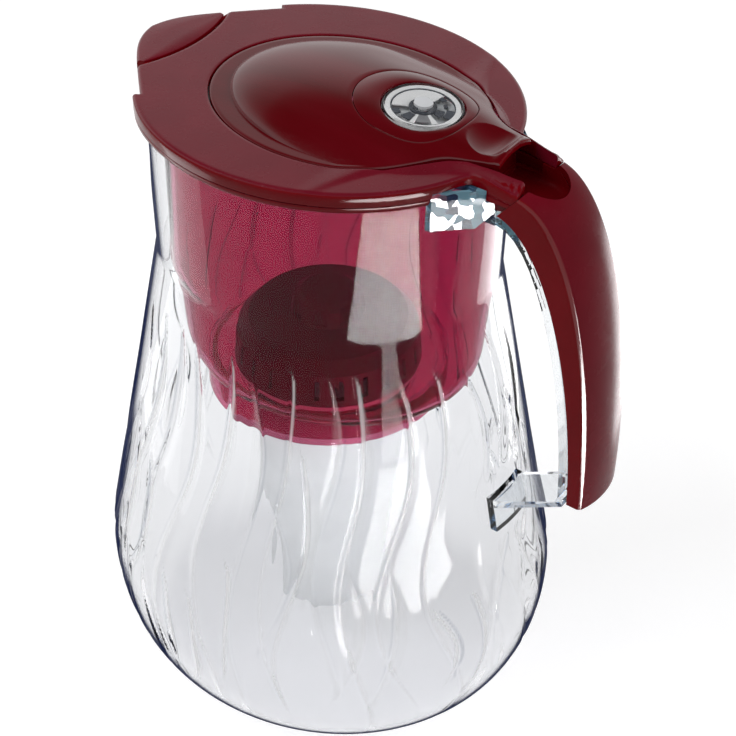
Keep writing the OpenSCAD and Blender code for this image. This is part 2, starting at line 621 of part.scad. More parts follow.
// ---- handle ----
// Side lines of the handle, from the lid down
foot_x = belly_r + 18;
inner_line = [[rim_r + 9, rim_z - 14.5], [rim_r + 28, rim_z - 15], [foot_x - 1.5, 190],
    [foot_x - 0.2, handle_foot_z]];
outer_line = [[rim_r + 9, rim_z - 6.8], [rim_r + 30.5, rim_z - 9.5], [foot_x + 6.5, 195],
    [foot_x + 6.6, handle_foot_z]];
cover_start = [rim_r + 12, rim_z - 7.2];
edge_line = [cover_start, [rim_r + 33.5, rim_z - 11.5], [foot_x + 4.3, 195],
    [foot_x + 5, handle_foot_z + 1]];
ridge_line = [[root_x + 0.4, rim_z + 2.5], [rim_r + 43.6, rim_z - 2.7], [foot_x + 12.1, 201],
    [foot_x + 10.6, handle_foot_z + 1]];
stations = 14;
function cover_ring(t, top_w, inset) =
    let (w = top_w - (cover_w - cover_foot_w) * t, e = bezier(edge_line, t),
        q = bezier(ridge_line, t), n = unit(q - e), p = q - inset * n)
    [for (v = [[e, -w, 0], [p, -w, -1.2], [p, -w * 0.88, 0], [p, -w * 0.55, 0.7], [p, 0, 1],
            [p, w * 0.55, 0.7], [p, w * 0.88, 0], [p, w, -1.2], [e, w, 0]])
        let (k = v[2] < 0 ? v[2] : v[2] * cover_crown) [v[0][0] + n[0] * k, v[1], v[0][1] + n[1] * k]];
function cover_section(t) =
    let (o = cover_ring(t, cover_w, 0), i = cover_ring(t, cover_w - cover_wall, cover_wall))
    concat(o, [for (j = [len(i) - 1 : -1 : 0]) i[j]]);
// Faces that close the open-sided section at either end
channel_cap = [for (i = [0 : 7]) each [[i, i + 1, 16 - i], [i, 16 - i, 17 - i]]];
end_t = 0.955;
well_floor = rim_z - 5.2;
well_end = rim_r + 30;
well_start = rim_r + 3;
module side_plate(w, points) {
    rotate([90, 0, 0]) translate([0, 0, -w]) linear_extrude(2 * w) polygon(points);
}
module handle_cover() {
    color([0.45, 0.05, 0.1]) difference() {
        union() {
            capped_loft([for (i = [stations : -1 : 0]) cover_section(i / stations)], channel_cap);
            // closed lower end
            capped_loft([for (t = [0.998, end_t]) cover_ring(t, cover_w - 0.5, 0.5)]);
            // tray of the thumb well
            side_plate(cover_w - cover_wall + 0.2, [[well_start, well_floor - 1.2],
                [well_start + 10, well_floor - 1.2], [well_end - 5, well_floor - 3.6],
                [well_end + 3, well_floor - 6.2], [well_end + 3, rim_z - 9], [well_end - 2.5, rim_z - 3.4],
                [well_end - 9.5, rim_z + 0.4], [well_start + 15.1, rim_z - 0.4],
                [well_start + 12.8, rim_z - 3.1], [well_start + 11, rim_z - 3.1],
                [well_start + 10.8, rim_z + 1.7], [well_start, rim_z + 1.7]]);
        }
        // the well, with a round end
        intersection() {
            side_plate(well_w, [[well_start + 1.2, well_floor], [well_start + 13, well_floor],
                [well_end - 6, well_floor - 0.6], [well_end - 2, well_floor + 0.4],
                [well_end, well_floor + 2], [well_end, rim_z + 30], [well_start + 1.2, rim_z + 30]]);
            translate([0, 0, well_floor - 5]) linear_extrude(60) polygon(concat(
                [[well_start, well_w], [well_start, -well_w]],
                [for (a = [-90 : 7.5 : 90]) [well_end - well_w + well_w * cos(a), well_w * sin(a)]]));
        }
        // room for the wider part of the thumb tab beside the axle
        side_plate(well_w + 1.5, [[well_start - 1, rim_z - 3], [well_start + 11, rim_z - 3],
            [well_start + 11, rim_z + 30], [well_start - 1, rim_z + 30]]);
    }
}
// Polygon between two side lines of the handle, with the first one moved outwards by d
function line_at(v, t, d) =
    let (p = bezier(v, t), q = bezier(v, min(1, t + 0.01)), r = bezier(v, max(0, t - 0.01)), u = unit(q - r))
    [p[0] - u[1] * d, p[1] + u[0] * d];
function band(d0, d1, t1) = concat(
    [for (i = [0 : stations]) line_at(inner_line, t1 * i / stations, d0)],
    [for (i = [stations : -1 : 0]) line_at(outer_line, t1 * i / stations, d1)]);
// Wings of the frame beside the lid's root: how far they reach along the rim, and their outline
wing_y = 29.2;
wing_ys = [7.9, 11, 14, 16, 18, 20, 22, 24, 26.5, wing_y];
function rim_x(y, d) = (rim_r + d) * sqrt(1 - pow(y / (rim_r * oval_rim + d), 2));
function wing_out(y) = rim_x(y, loose) + 2.2 + 13 * pow((wing_y - y) / (wing_y - 10.6), 1.5);
function wing_from(k) = [for (i = [k : len(wing_ys) - 1]) wing_ys[i]];
function wing_plan(ys, d) = let (n = len(ys) - 1) concat(
    [for (y = ys) [rim_x(y, loose + d), y]], [for (i = [n : -1 : 0]) [wing_out(ys[i]) - d, ys[i]]]);
module wings() {
    intersection() {
        for (s = [0, 1]) mirror([0, s, 0]) difference() {
            union() {
                translate([0, 0, rim_z - 13.6]) linear_extrude(7.1) polygon(wing_plan(wing_ys, 0));
                translate([0, 0, rim_z - 8]) linear_extrude(4.9) polygon(wing_plan(wing_from(2), 0));
                translate([0, 0, rim_z - 4]) linear_extrude(5.9) polygon(wing_plan(wing_from(3), 0));
            }
            translate([0, 0, rim_z - 11.8]) linear_extrude(30) polygon(wing_plan([17.5, 19, 21, 23], 1.5));
        }
        // the outer faces lean outwards
        side_plate(40, [[rim_r - 20, rim_z - 14], [rim_r + 5, rim_z - 14], [rim_r + 13.5, rim_z - 3],
            [rim_r + 13.5, rim_z + 3], [rim_r - 20, rim_z + 3]]);
    }
}
pad_low = 110;
pad_high = 125;
arm_x = vessel_r(pad_high) + 3.35;
// Block whose inner face follows the vessel at a small gap, from height z0 to z1
module vessel_pad(z0, z1, depth0, depth1, w) {
    capped_loft([for (i = [0 : 8])
        let (y = w * (i / 4 - 1), x0 = vessel_x(z0, y) + loose, x1 = vessel_x(z1, y) + loose)
        [[x0, y, z0], [x1, y, z1], [x1 + depth1, y, z1], [x0 + depth0, y, z0]]]);
}
function vessel_x(z, y) = vessel_r(z) * sqrt(1 - pow(y / (vessel_r(z) * oval_at(z)), 2));
module handle_frame() {
    color("aliceblue", 0.35) difference() {
        union() {
            side_plate(frame_w, band(0, 0, 1));
            vessel_pad(rim_z - 15, rim_z - 6.8, 10, 10, frame_w);
            wings();
            // lower arm and the pad that lies on the belly
            side_plate(frame_w, [[arm_x, pad_high - 3.4], [arm_x - 1, pad_high - 0.4],
                [foot_x - 1.4, handle_foot_z - 2.8], [foot_x - 0.1, handle_foot_z],
                [foot_x - 0.1, handle_foot_z + 4], [foot_x + 1.8, handle_foot_z + 4],
                [foot_x + 2, handle_foot_z - 3.6]]);
            vessel_pad(pad_low, pad_high, 3, 3, frame_w);
        }
        side_plate(frame_w - frame_wall, band(frame_wall, 3, 0.97));
        translate([vessel_r(rim_z - 10) + 2.6, -frame_w + frame_wall, rim_z - 15 + frame_wall])
            cube([9, 2 * (frame_w - frame_wall), 20]);
        // room for the closed end of the cover
        translate([foot_x + 4.5, -cover_w, handle_foot_z - 10]) cube([20, 2 * cover_w, 19]);
    }
}

jug();
handle_frame();
handle_cover();
funnel();
lid();
hatch_axle();
hatch();
counter_bezel();
counter_window();
counter_housing();
check_spring();
button_spring();
counter_dial();
ratchet_wheel();
counter_button();
spout_flap();
cartridge_shell();
cartridge_cap();
cartridge_ring();
sorbent_bed();
upper_screen();
lower_screen();
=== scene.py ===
import math
import bpy
import bmesh
import numpy as np
from mathutils import Vector, Matrix


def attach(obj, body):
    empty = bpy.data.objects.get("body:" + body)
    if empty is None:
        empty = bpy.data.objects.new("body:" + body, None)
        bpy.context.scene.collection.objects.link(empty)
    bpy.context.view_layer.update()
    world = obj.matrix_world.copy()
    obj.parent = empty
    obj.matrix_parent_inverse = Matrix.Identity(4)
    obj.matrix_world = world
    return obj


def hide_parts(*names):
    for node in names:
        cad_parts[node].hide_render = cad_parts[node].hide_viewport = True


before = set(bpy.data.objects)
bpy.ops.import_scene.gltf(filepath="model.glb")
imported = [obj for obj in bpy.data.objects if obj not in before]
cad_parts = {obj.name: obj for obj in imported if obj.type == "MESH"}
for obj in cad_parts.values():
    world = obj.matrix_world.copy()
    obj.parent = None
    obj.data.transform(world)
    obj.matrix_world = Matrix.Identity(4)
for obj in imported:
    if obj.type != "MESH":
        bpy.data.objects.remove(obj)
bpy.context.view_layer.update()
MM = 0.001

# ------------------------------------------------------------------ sizes in mm, most as in the solids
# The vessel's rim, neck, belly and base: heights, and half lengths along X
RIM_Z, NECK_Z, BELLY_Z = 266.0, 205.0, 54.0
RIM_R, NECK_R, BELLY_R, BASE_R = 72.0, 70.3, 98.0, 68.0
WALL = 2.4
# The slope of its cone, and the radius of the arc between cone and belly
CONE_SLOPE, BELLY_ARC = 0.195, 70.0
# Its width over its length, at the base and at the rim
OVAL_BASE, OVAL_RIM = 0.92, 0.863
# The spout: how far it reaches, |y| - x on its slanted sides, and where it starts
REACH, SUM, SPOUT_Z = 87.0, 96.4, 226.0
# The lid's levels: the funnel's flange, its own underside and top, and its skirt's lower edge
FLANGE_Z, UNDER_Z, LID_Z, SKIRT_Z = 268.0, 269.5, 272.0, 263.3
# The lid's half axes, and the point on X that the outlines of lid and hatch are measured from
LID_A, LID_B, POLE = 75.2, RIM_R * OVAL_RIM + 4.5, 38.0
# The radius of its upper edge, the skirt's thickness, and how far the skirt leans in
TOP_EDGE, SKIRT_T, LEAN = 1.6, 2.0, 2.0
# The lid's root towards the handle: its end and half width
ROOT_X, ROOT_W = 91.7, 15.6
# The spout flap: the nearest point and radius of its curved joint, and its pins' middle and radius
FLAP_X, FLAP_R = 64.3, 64.0
PIN_X, PIN_Y, PIN_Z, PIN_R = -68.3, 21.8, 270.3, 1.1
# Half the angles, seen from the pole, that the flap and the lid's pointed outline take
FLAP_ANGLE, SPOUT_ANGLE = 12.4, 25.0
# The hatch: half axes, middle and thickness; its axle; and the barrel's bore, radius and half length
HATCH_A, HATCH_B, HATCH_X, HATCH_T = 54.3, RIM_R * OVAL_RIM - 17.7, 9.3, 2.2
AXLE_X, AXLE_Z, BARREL_BORE, BARREL_R, BARREL_W = 72.0, 271.0, 1.45, 2.6, 12.0
# Its thumb tab: the end, and the half width at TAB_FROM, which falls by TAB_TAPER for each mm
TAB_X, TAB_FROM, TAB_W, TAB_TAPER = 80.6, 62.0, 14.6, 0.25
# The thumb's hollow in the tab: centre, half length, half width and depth
SCOOP_X, SCOOP_A, SCOOP_B, SCOOP_D = 71.6, 9.6, 9.0, 2.0
# The hatch's dome: centre, half length, half width and height
DOME_X, DOME_A, DOME_B, DOME_H = 18.0, 56.0, 39.0, 10.49
# The counter: centre, tilt in degrees, radius of its window, and half axes of its bezel
DIAL_X, DIAL_Z, TILT = 42.2, 281.2, 5.0
WINDOW_R, BEZEL_A, BEZEL_B = 14.9, 22.1, 20.4
# The funnel's wall, and the radius of its sump and of the cartridge's socket
FUNNEL_W, SUMP_R, SOCKET_R = 2.0, 49.0, 34.1
# The handle's cover: half width at the root and at the foot, wall, and the height of its crown
COVER_W, FOOT_W, COVER_WALL, CROWN = 15.4, 13.2, 2.2, 2.55
# The tray under the tab and the thumb's well in it: half widths, the well's start, its end's centre
TRAY_W, WELL_W, WELL_FROM, WELL_END = 13.4, 10.5, 74.2, 91.5
# A small lift that keeps the clear base off the floor's plane, and the points round its wall
OFF_FLOOR, WALL_STEPS = 0.05, 720
# The number of grooves in the wall, and the width of their lines in degrees
GROOVES, LINE_W = 64, 0.58
# Soft edges of lid and bezel: the radius, and how far in and down the middle of the arc lies
EDGE_R, EDGE_MID = 0.45, 0.13
# Half a lug's width, the bezel's reach below the counter's centre, and its face's turn in degrees
LUG_W, BEZEL_DEPTH, FACE_TURN = 1.1, 4.5, 37.0


def ramp(x, lo, hi):
    """A smooth step from 0 at lo to 1 at hi."""
    t = np.clip((np.asarray(x, float) - lo) / (hi - lo), 0, 1)
    return t * t * (3 - 2 * t)


def wall(k, d):
    """Distance to a straight side: k over d, or far away where the side isn't met."""
    d = np.asarray(d, float)
    return np.where(d > 1e-4, k / np.maximum(d, 1e-4), 1e6)


def ray_oval(px, a, cx, p, q):
    """Distance from (px, 0) in direction a to an ellipse at cx with half axes p and q."""
    dx = px - cx
    c, s, e = np.cos(a) / p, np.sin(a) / q, dx / p
    k, m, n = c * c + s * s, e * c, e * e - 1
    return (-m + np.sqrt(np.maximum(0, m * m - k * n))) / k


def near_circle(px, a, cx, r):
    """Distance from (px, 0) in direction a to the near side of a circle at cx."""
    m = (px - cx) * np.cos(a)
    d = m * m - ((px - cx) ** 2 - r * r)
    return np.where(d < 0, 1e6, -m - np.sqrt(np.maximum(d, 0)))


def soft_min(u, v, n):
    """The smaller of two lengths, with a rounded change between them that is tighter for a larger n."""
    return (u ** -n + v ** -n) ** (-1.0 / n)


def soft_max(u, v, n):
    return (u ** n + v ** n) ** (1.0 / n)


def off_spout(a):
    """Degrees between a direction and the spout's."""
    return np.abs((np.degrees(a) % 360) - 180)


def prow(px, a, d):
    """Distance from (px, 0) to the pointed outline over the spout, moved in by d."""
    return soft_min(wall(SUM - d * math.sqrt(2) + px, np.abs(np.sin(a)) - np.cos(a)),
                    wall(REACH - d + px, -np.cos(a)), 24.0)


def lid_plan(a):
    """The lid's outline from its pole: an oval, its root at the handle and its point over the spout."""
    root = np.minimum(wall(ROOT_W, np.abs(np.sin(a))), wall(ROOT_X - POLE, np.cos(a)))
    root = np.where(np.cos(a) < 0.05, 1.0, root)
    oval = soft_max(ray_oval(POLE, a, 0, LID_A, LID_B), root, 14.0)
    return np.where(off_spout(a) < SPOUT_ANGLE, prow(POLE, a, 0), oval)


def lid_edge(a):
    """The lid's outline without the spout flap."""
    p = lid_plan(a)
    joint = near_circle(POLE, a, -FLAP_X - FLAP_R, FLAP_R + 0.8)
    return np.where(off_spout(a) < SPOUT_ANGLE, np.minimum(p, joint), p)


def hatch_plan(a):
    """The hatch's outline from the pole: an oval that runs out into the tab."""
    side = wall(TAB_W + TAB_TAPER * (TAB_FROM - POLE), np.abs(np.sin(a)) + TAB_TAPER * np.cos(a))
    tab = np.where(np.cos(a) < 0.05, 1.0, np.minimum(side, wall(TAB_X - POLE, np.cos(a))))
    return soft_max(ray_oval(POLE, a, HATCH_X, HATCH_A, HATCH_B), tab, 6.0)


def bezel_plan(a):
    """The counter's bezel: round towards the spout, with fuller corners towards the handle."""
    n = np.where(np.cos(a) > 0, 2.6, 2.0)
    return ((np.abs(np.cos(a)) / BEZEL_A) ** n + (np.abs(np.sin(a)) / BEZEL_B) ** n) ** (-1 / n)


def window_plan(a):
    """The round hole for the counter's window, seen from the pole."""
    return ray_oval(POLE, a, DIAL_X, WINDOW_R + 0.3, WINDOW_R + 0.3)


def dome(x, y):
    """Height of the hatch's dome, with flatter flanks beside the counter."""
    e = 0.5 + 0.3 * ramp(np.abs(y), 8, 24) * ramp(x, -5, 25)
    return DOME_H * np.maximum(0, 1 - ((x - DOME_X) / DOME_A) ** 2 - (y / DOME_B) ** 2) ** e


def ridge(x, y):
    """Height of the ridge that carries the top on to the tab and the lid's root."""
    w = 13.4 + 26 * np.exp(-(x - 45) / 14)
    s = np.maximum(0, 1 - (y / w) ** 2)
    return np.where(x < 30, 0, 5.5 * ramp(x, 30, 62) * (s * ramp(s, 0, 0.3)) ** 0.6)


def top_z(x, y):
    """The upper surface that lid, hatch and bezel share."""
    return LID_Z + (dome(x, y) ** 4 + ridge(x, y) ** 4) ** 0.25 - 2.2 * ramp(x, 74, 92)


def tab_z(x, y):
    """The same surface with the thumb's hollow and the tab's raised lip."""
    q = ((x - SCOOP_X) / SCOOP_A) ** 2 + (y / SCOOP_B) ** 2
    lip = 1.9 * ramp(x, 76, 80.2) * np.maximum(0, 1 - (y / 13) ** 2)
    return top_z(x, y) - SCOOP_D * np.maximum(0, 1 - q) ** 0.9 + lip


def tab_half(x):
    """Half width of the tab at x."""
    return TAB_W - TAB_TAPER * (x - TAB_FROM)


def skirt_in(a):
    """How far the skirt leans in: most at the sides, and not at all at the spout."""
    side = 0.35 + 0.65 * np.abs(np.sin(a))
    return LEAN * side * ramp(off_spout(a), SPOUT_ANGLE, SPOUT_ANGLE + 20)


# ------------------------------------------------------------------ mesh helpers
def cos_sin(degrees):
    return math.cos(math.radians(degrees)), math.sin(math.radians(degrees))


def new_object(name, verts, faces, body, slot, material, smooth=35.0):
    """A mesh object from points in mm, with the material given; with a body, it rides on it. slot is not
    used.
    """
    me = bpy.data.meshes.new(name)
    me.from_pydata((np.asarray(verts, float) * MM).tolist(), [], [list(map(int, f)) for f in faces])
    me.validate()
    bm = bmesh.new()
    bm.from_mesh(me)
    bmesh.ops.recalc_face_normals(bm, faces=bm.faces)
    bm.to_mesh(me)
    bm.free()
    shade(me, smooth)
    ob = bpy.data.objects.new(name, me)
    bpy.context.scene.collection.objects.link(ob)
    if material:
        me.materials.append(material)
    if body:
        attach(ob, body)
    return ob


def shade(me, angle):
    """Smooth shading, with edges sharper than the angle kept sharp."""
    me.polygons.foreach_set("use_smooth", [True] * len(me.polygons))
    me.set_sharp_from_angle(angle=math.radians(angle))


def band_quads(n, m, wrap=True):
    """Quads between n rings of m points; the last ring joins the first when wrap is set."""
    i, j = np.meshgrid(np.arange(n if wrap else n - 1), np.arange(m), indexing="ij")
    i2, j2 = (i + 1) % n, (j + 1) % m
    return np.stack([i * m + j, i * m + j2, i2 * m + j2, i2 * m + j], -1).reshape(-1, 4)


def loft(rings):
    """Rings joined one to the next, and the last to the first."""
    rings = np.asarray(rings, float)
    n, m = rings.shape[:2]
    return rings.reshape(-1, 3), band_quads(n, m)


def capped(rings):
    """Rings joined one to the next, with the first and last closed by a face."""
    rings = np.asarray(rings, float)
    n, m = rings.shape[:2]
    faces = band_quads(n, m, False).tolist()
    faces.append(list(range(m))[::-1])
    faces.append([(n - 1) * m + j for j in range(m)])
    return rings.reshape(-1, 3), faces


def revolve(profile, steps):
    """A closed profile of (r, z) turned about Z."""
    a = np.linspace(0, 2 * math.pi, steps, endpoint=False)
    p = np.asarray(profile, float)
    return loft(np.stack([np.outer(np.cos(a), p[:, 0]), np.outer(np.sin(a), p[:, 0]),
                          np.tile(p[:, 1], (steps, 1))], -1))


def rounded(points, radii, steps=4):
    """A closed profile with each corner rounded by its own radius, or all by one."""
    pts = [np.array(p, float) for p in points]
    out = []
    for i, p in enumerate(pts):
        r = radii[i] if isinstance(radii, list) else radii
        u, v = pts[i - 1] - p, pts[(i + 1) % len(pts)] - p
        before, after = np.linalg.norm(u), np.linalg.norm(v)
        k = min(r, before * 0.45, after * 0.45)
        u, v = u / before * k, v / after * k
        for t in [s / steps for s in range(steps + 1)]:
            out.append(p + u * (1 - t) ** 2 + v * t ** 2)
    return out


def prism(name, points, w, y=0.0, body=None, slot=None, material=None):
    """A side-view polygon (x, z) pushed out from y - w to y + w; without a body it is a cutter."""
    n = len(points)
    v = [(p[0], -w, p[1]) for p in points] + [(p[0], w, p[1]) for p in points]
    f = [list(range(n)), list(range(2 * n - 1, n - 1, -1))]
    f += [[i, i + n, (i + 1) % n + n, (i + 1) % n] for i in range(n)]
    ob = new_object(name, v, f, body, slot, material)
    ob.data.transform(Matrix.Translation((0, y * MM, 0)))
    return ob


def column(name, points, z0, z1):
    """A cutter: a plan outline (x, y) pushed up from z0 to z1."""
    n = len(points)
    v = [(x, y, z0) for x, y in points] + [(x, y, z1) for x, y in points]
    f = [list(range(n - 1, -1, -1)), list(range(n, 2 * n))]
    f += [[i, (i + 1) % n, (i + 1) % n + n, i + n] for i in range(n)]
    return new_object(name, v, f, None, None, None)


def box_points(x0, x1, z0, z1):
    return [(x0, z0), (x1, z0), (x1, z1), (x0, z1)]


def apply_boolean(ob, cutter, op="DIFFERENCE", smooth=35.0):
    """Cut or join a second object into the first, for good, and delete the second."""
    m = ob.modifiers.new("cut", "BOOLEAN")
    m.object, m.operation, m.solver = cutter, op, "EXACT"
    dg = bpy.context.evaluated_depsgraph_get()
    dg.update()
    me = bpy.data.meshes.new_from_object(ob.evaluated_get(dg), depsgraph=dg)
    ob.modifiers.remove(m)
    old = ob.data
    ob.data = me
    me.name = ob.name
    bpy.data.meshes.remove(old)
    shade(me, smooth)
    bpy.data.objects.remove(cutter)


def bevel(ob, width, segments, angle):
    m = ob.modifiers.new("edge", "BEVEL")
    m.width, m.segments, m.limit_method = width * MM, segments, "ANGLE"
    m.angle_limit = math.radians(angle)
    m.harden_normals = False


def pole_rings(a, rows):
    """A ring of points for each angle round the pole, from rows of (r, z)."""
    c, s = np.cos(a), np.sin(a)
    return np.stack([np.stack([POLE + r * c, r * s, z], -1) for r, z in rows], 1)


def section_loft(name, angles, section, body, slot, material):
    """A closed section at every angle round the pole: section(angles) gives rows of (r, z)."""
    return new_object(name, *loft(pole_rings(angles, section(angles))), body, slot, material)


def on_top(a, r, d, surface=top_z):
    """The row (r, z) that lies d below a surface."""
    return r, surface(POLE + r * np.cos(a), r * np.sin(a)) - d


def two_tone_faces(ob, material, test):
    """Give a second material to the faces that pass test(normal, centre in mm)."""
    me = ob.data
    slot = len(me.materials)
    me.materials.append(material)
    for p in me.polygons:
        if test(p.normal, p.center / MM):
            p.material_index = slot


# ------------------------------------------------------------------ shader helpers
def nodes_of(name):
    m = bpy.data.materials.new(name)
    m.use_nodes = True
    t = m.node_tree
    t.nodes.clear()
    return m, t, t.nodes.new("ShaderNodeOutputMaterial")


def node(t, kind, inputs=(), **settings):
    """A new shader node, each named input linked to a socket or set to a plain value."""
    n = t.nodes.new("ShaderNode" + kind)
    for k, v in settings.items():
        setattr(n, k, v)
    for k, v in dict(inputs).items():
        if isinstance(v, bpy.types.NodeSocket):
            t.links.new(v, n.inputs[k])
        else:
            n.inputs[k].default_value = v
    return n


def attribute(t, name):
    return node(t, "Attribute", attribute_name=name)


def calculate(t, operation, a, b):
    return node(t, "Math", {0: a, 1: b}, operation=operation).outputs[0]


def remap(t, value, lo, hi, to_lo=0.0, to_hi=1.0, kind="LINEAR"):
    """A value's place between lo and hi, carried over to between to_lo and to_hi."""
    places = {"Value": value, "From Min": lo, "From Max": hi, "To Min": to_lo, "To Max": to_hi}
    return node(t, "MapRange", places, interpolation_type=kind).outputs["Result"]


def mix_colour(t, share, a, b):
    return node(t, "Mix", {"Factor": share, 6: a, 7: b}, data_type="RGBA").outputs[2]


def mix_shader(t, share, a, b):
    return node(t, "MixShader", {"Fac": share, 1: a, 2: b}).outputs["Shader"]


def diffuse(t, colour):
    return node(t, "BsdfDiffuse", {"Color": colour}).outputs["BSDF"]


def noise(t, scale, detail, stretch=(1, 1, 1)):
    """A noise in the object's own space, from 0 to 1."""
    place = node(t, "Mapping", {"Vector": node(t, "TexCoord").outputs["Object"], "Scale": stretch})
    n = node(t, "TexNoise", {"Vector": place.outputs["Vector"], "Scale": scale, "Detail": detail})
    return n.outputs["Fac"]


def two_tone(t, source, a, b, lo=0.35, hi=0.65):
    """Colour a where the source is low, b where it is high."""
    c = node(t, "ValToRGB", {"Fac": source})
    for e, place, colour in zip(c.color_ramp.elements, (lo, hi), (a, b)):
        e.position, e.color = place, (*colour, 1)
    return c.outputs["Color"]


def direct_rays(t):
    """1 for what the camera, gloss and glass see, and 0 for light on the object."""
    rays = node(t, "LightPath").outputs
    seen = calculate(t, "MAXIMUM", rays["Is Camera Ray"], rays["Is Glossy Ray"])
    return calculate(t, "MAXIMUM", seen, rays["Is Transmission Ray"])


# ------------------------------------------------------------------ materials
# The level in metres above which the clear frame gets painted shade in cells, and the painted shade of the
# grooves' dark lines
FACET_SHADE_FROM, GROOVE_SHADE = 0.246, (0.40, 0.43, 0.49, 1)


def moulded(name, tone, other, rough=(0.12, 0.2), scale=60.0, bump=0.02, bump_scale=900.0,
            metallic=0.0, level=0.5, stretch=(1, 1, 1)):
    """Moulded plastic or metal: slight colour drift, uneven gloss and a fine skin."""
    m, t, out = nodes_of(name)
    colour = two_tone(t, noise(t, scale, 4, stretch), tone, other)
    gloss = remap(t, noise(t, scale * 2.3, 5, stretch), 0.3, 0.7, *rough)
    grain = noise(t, bump_scale, 2, stretch)
    skin = node(t, "Bump", {"Strength": bump, "Distance": 0.0004, "Height": grain})
    p = node(t, "BsdfPrincipled", {"Metallic": metallic, "Specular IOR Level": level, "Base Color": colour,
                                   "Roughness": gloss, "Normal": skin.outputs["Normal"]})
    t.links.new(p.outputs["BSDF"], out.inputs["Surface"])
    return m


def with_facet_shade(t, surface, tones):
    """Painted shade: dark navy and teal diffuse cells above a set height, for the dark look of thick clear
    corners.
    """
    place = node(t, "TexCoord").outputs["Object"]
    cells = node(t, "TexVoronoi", {"Vector": place, "Scale": 250}, feature="F1")
    part = node(t, "SeparateColor", {"Color": cells.outputs["Color"]}).outputs
    height = node(t, "SeparateXYZ", {"Vector": place}).outputs["Z"]
    high = remap(t, height, FACET_SHADE_FROM, FACET_SHADE_FROM + 0.004)
    share = calculate(t, "MULTIPLY", remap(t, part[0], 0.36, 0.46, 0.0, 0.86), high)
    return mix_shader(t, share, surface, diffuse(t, two_tone(t, part[1], *tones, 0.3, 0.6)))


def clear(name, tint, edge, ior=1.4, rough=0.01, rim=(0.72, 0.97), passing=(0.9, 0.9, 0.92), wave=False,
          line=None, haze=0.0, haze_and_highlight_tone=(0.9, 0.9, 0.9), facet_shade=None):
    """See-through plastic: glass that lets lamps through, darker where it is seen edge on.

    rim is the range of Layer Weight's Facing over which the tint turns into the edge's colour, and
    line the one over which an opaque line of that colour comes in. haze is a share of diffuse; on the
    vessel that diffuse is white and is painted highlight along the grooves. wave is for the vessel:
    the wall's direction and the grooves' painted light and shade come from its mesh, and that shade
    darkens the glass's colour.
    """
    m, t, out = nodes_of(name)
    weight = node(t, "LayerWeight", {"Blend": 0.5})
    if wave:
        t.links.new(attribute(t, "plain").outputs["Vector"], weight.inputs["Normal"])
        outer = attribute(t, "outer").outputs["Fac"]
        tone = attribute(t, "wave").outputs["Fac"]

    def grazing(span, top=1.0):
        share = remap(t, weight.outputs["Facing"], *span, 0.0, top, "SMOOTHSTEP")
        return calculate(t, "MULTIPLY", share, outer) if wave else share

    drift = two_tone(t, noise(t, 25, 2), tint, [v * 0.985 for v in tint])
    colour = mix_colour(t, grazing(rim), drift, (*edge, 1))
    # painted shade: the grooves' dark lines turn the glass grey-blue
    if wave:
        colour = mix_colour(t, remap(t, tone, -0.15, -1.0), colour, GROOVE_SHADE)
    glass = node(t, "BsdfPrincipled", {"Transmission Weight": 1.0, "IOR": ior, "Roughness": rough,
                                       "Base Color": colour})
    surface = glass.outputs["BSDF"]
    if line:
        surface = mix_shader(t, grazing(line, 0.92), surface, diffuse(t, (*edge, 1)))
    # painted shade in cells, on the thick clear frame
    if facet_shade:
        surface = with_facet_shade(t, surface, facet_shade)
    # on the vessel, white diffuse where the grooves' tone is high: painted highlight; on other parts an even
    # share of haze
    if wave or haze:
        share = remap(t, tone, 0.1, 1.0, haze, 0.6) if wave else haze
        surface = mix_shader(t, share, surface, diffuse(t, (*haze_and_highlight_tone, 1)))
    shadow = node(t, "BsdfTransparent", {"Color": (*passing, 1)}).outputs["BSDF"]
    surface = mix_shader(t, node(t, "LightPath").outputs["Is Shadow Ray"], surface, shadow)
    t.links.new(surface, out.inputs["Surface"])
    return m


M_JUG = clear("clear_wall", (0.895, 0.90, 0.91), (0.012, 0.02, 0.075), 1.13, 0.01, (0.66, 0.92),
              wave=True, line=(0.77, 0.86))
M_CORE = clear("clear_core", (0.90, 0.92, 0.935), (0.05, 0.10, 0.18), 1.42, 0.01, (0.50, 0.93),
               line=(0.66, 0.88), facet_shade=((0.015, 0.03, 0.07), (0.13, 0.25, 0.31)))
M_RUBY = clear("ruby_shell", (0.57, 0.135, 0.24), (0.16, 0.003, 0.02), 1.10, 0.015, (0.68, 0.97),
               (0.6, 0.2, 0.3), haze=0.02, haze_and_highlight_tone=(0.3, 0.005, 0.03))
M_RED = moulded("red_gloss", (0.130, 0.0008, 0.003), (0.150, 0.001, 0.004), (0.10, 0.16), level=0.06)
M_EDGE = moulded("red_edge", (0.130, 0.0008, 0.003), (0.150, 0.001, 0.004), (0.10, 0.14), level=0.35)
M_BACK = moulded("red_back", (0.120, 0.003, 0.009), (0.135, 0.004, 0.011), (0.22, 0.30), level=0.055,
                 bump=0.05, bump_scale=700)
# a darker red for the tray and the hollow behind the tab: painted shade of the recess
M_WELL_SHADE = moulded("red_well_painted_shade", (0.085, 0.0008, 0.002), (0.10, 0.001, 0.003), (0.2, 0.3), level=0.12)
M_LID = moulded("red_satin", (0.125, 0.003, 0.011), (0.140, 0.004, 0.013), (0.22, 0.30), level=0.42,
                bump=0.05, bump_scale=700)
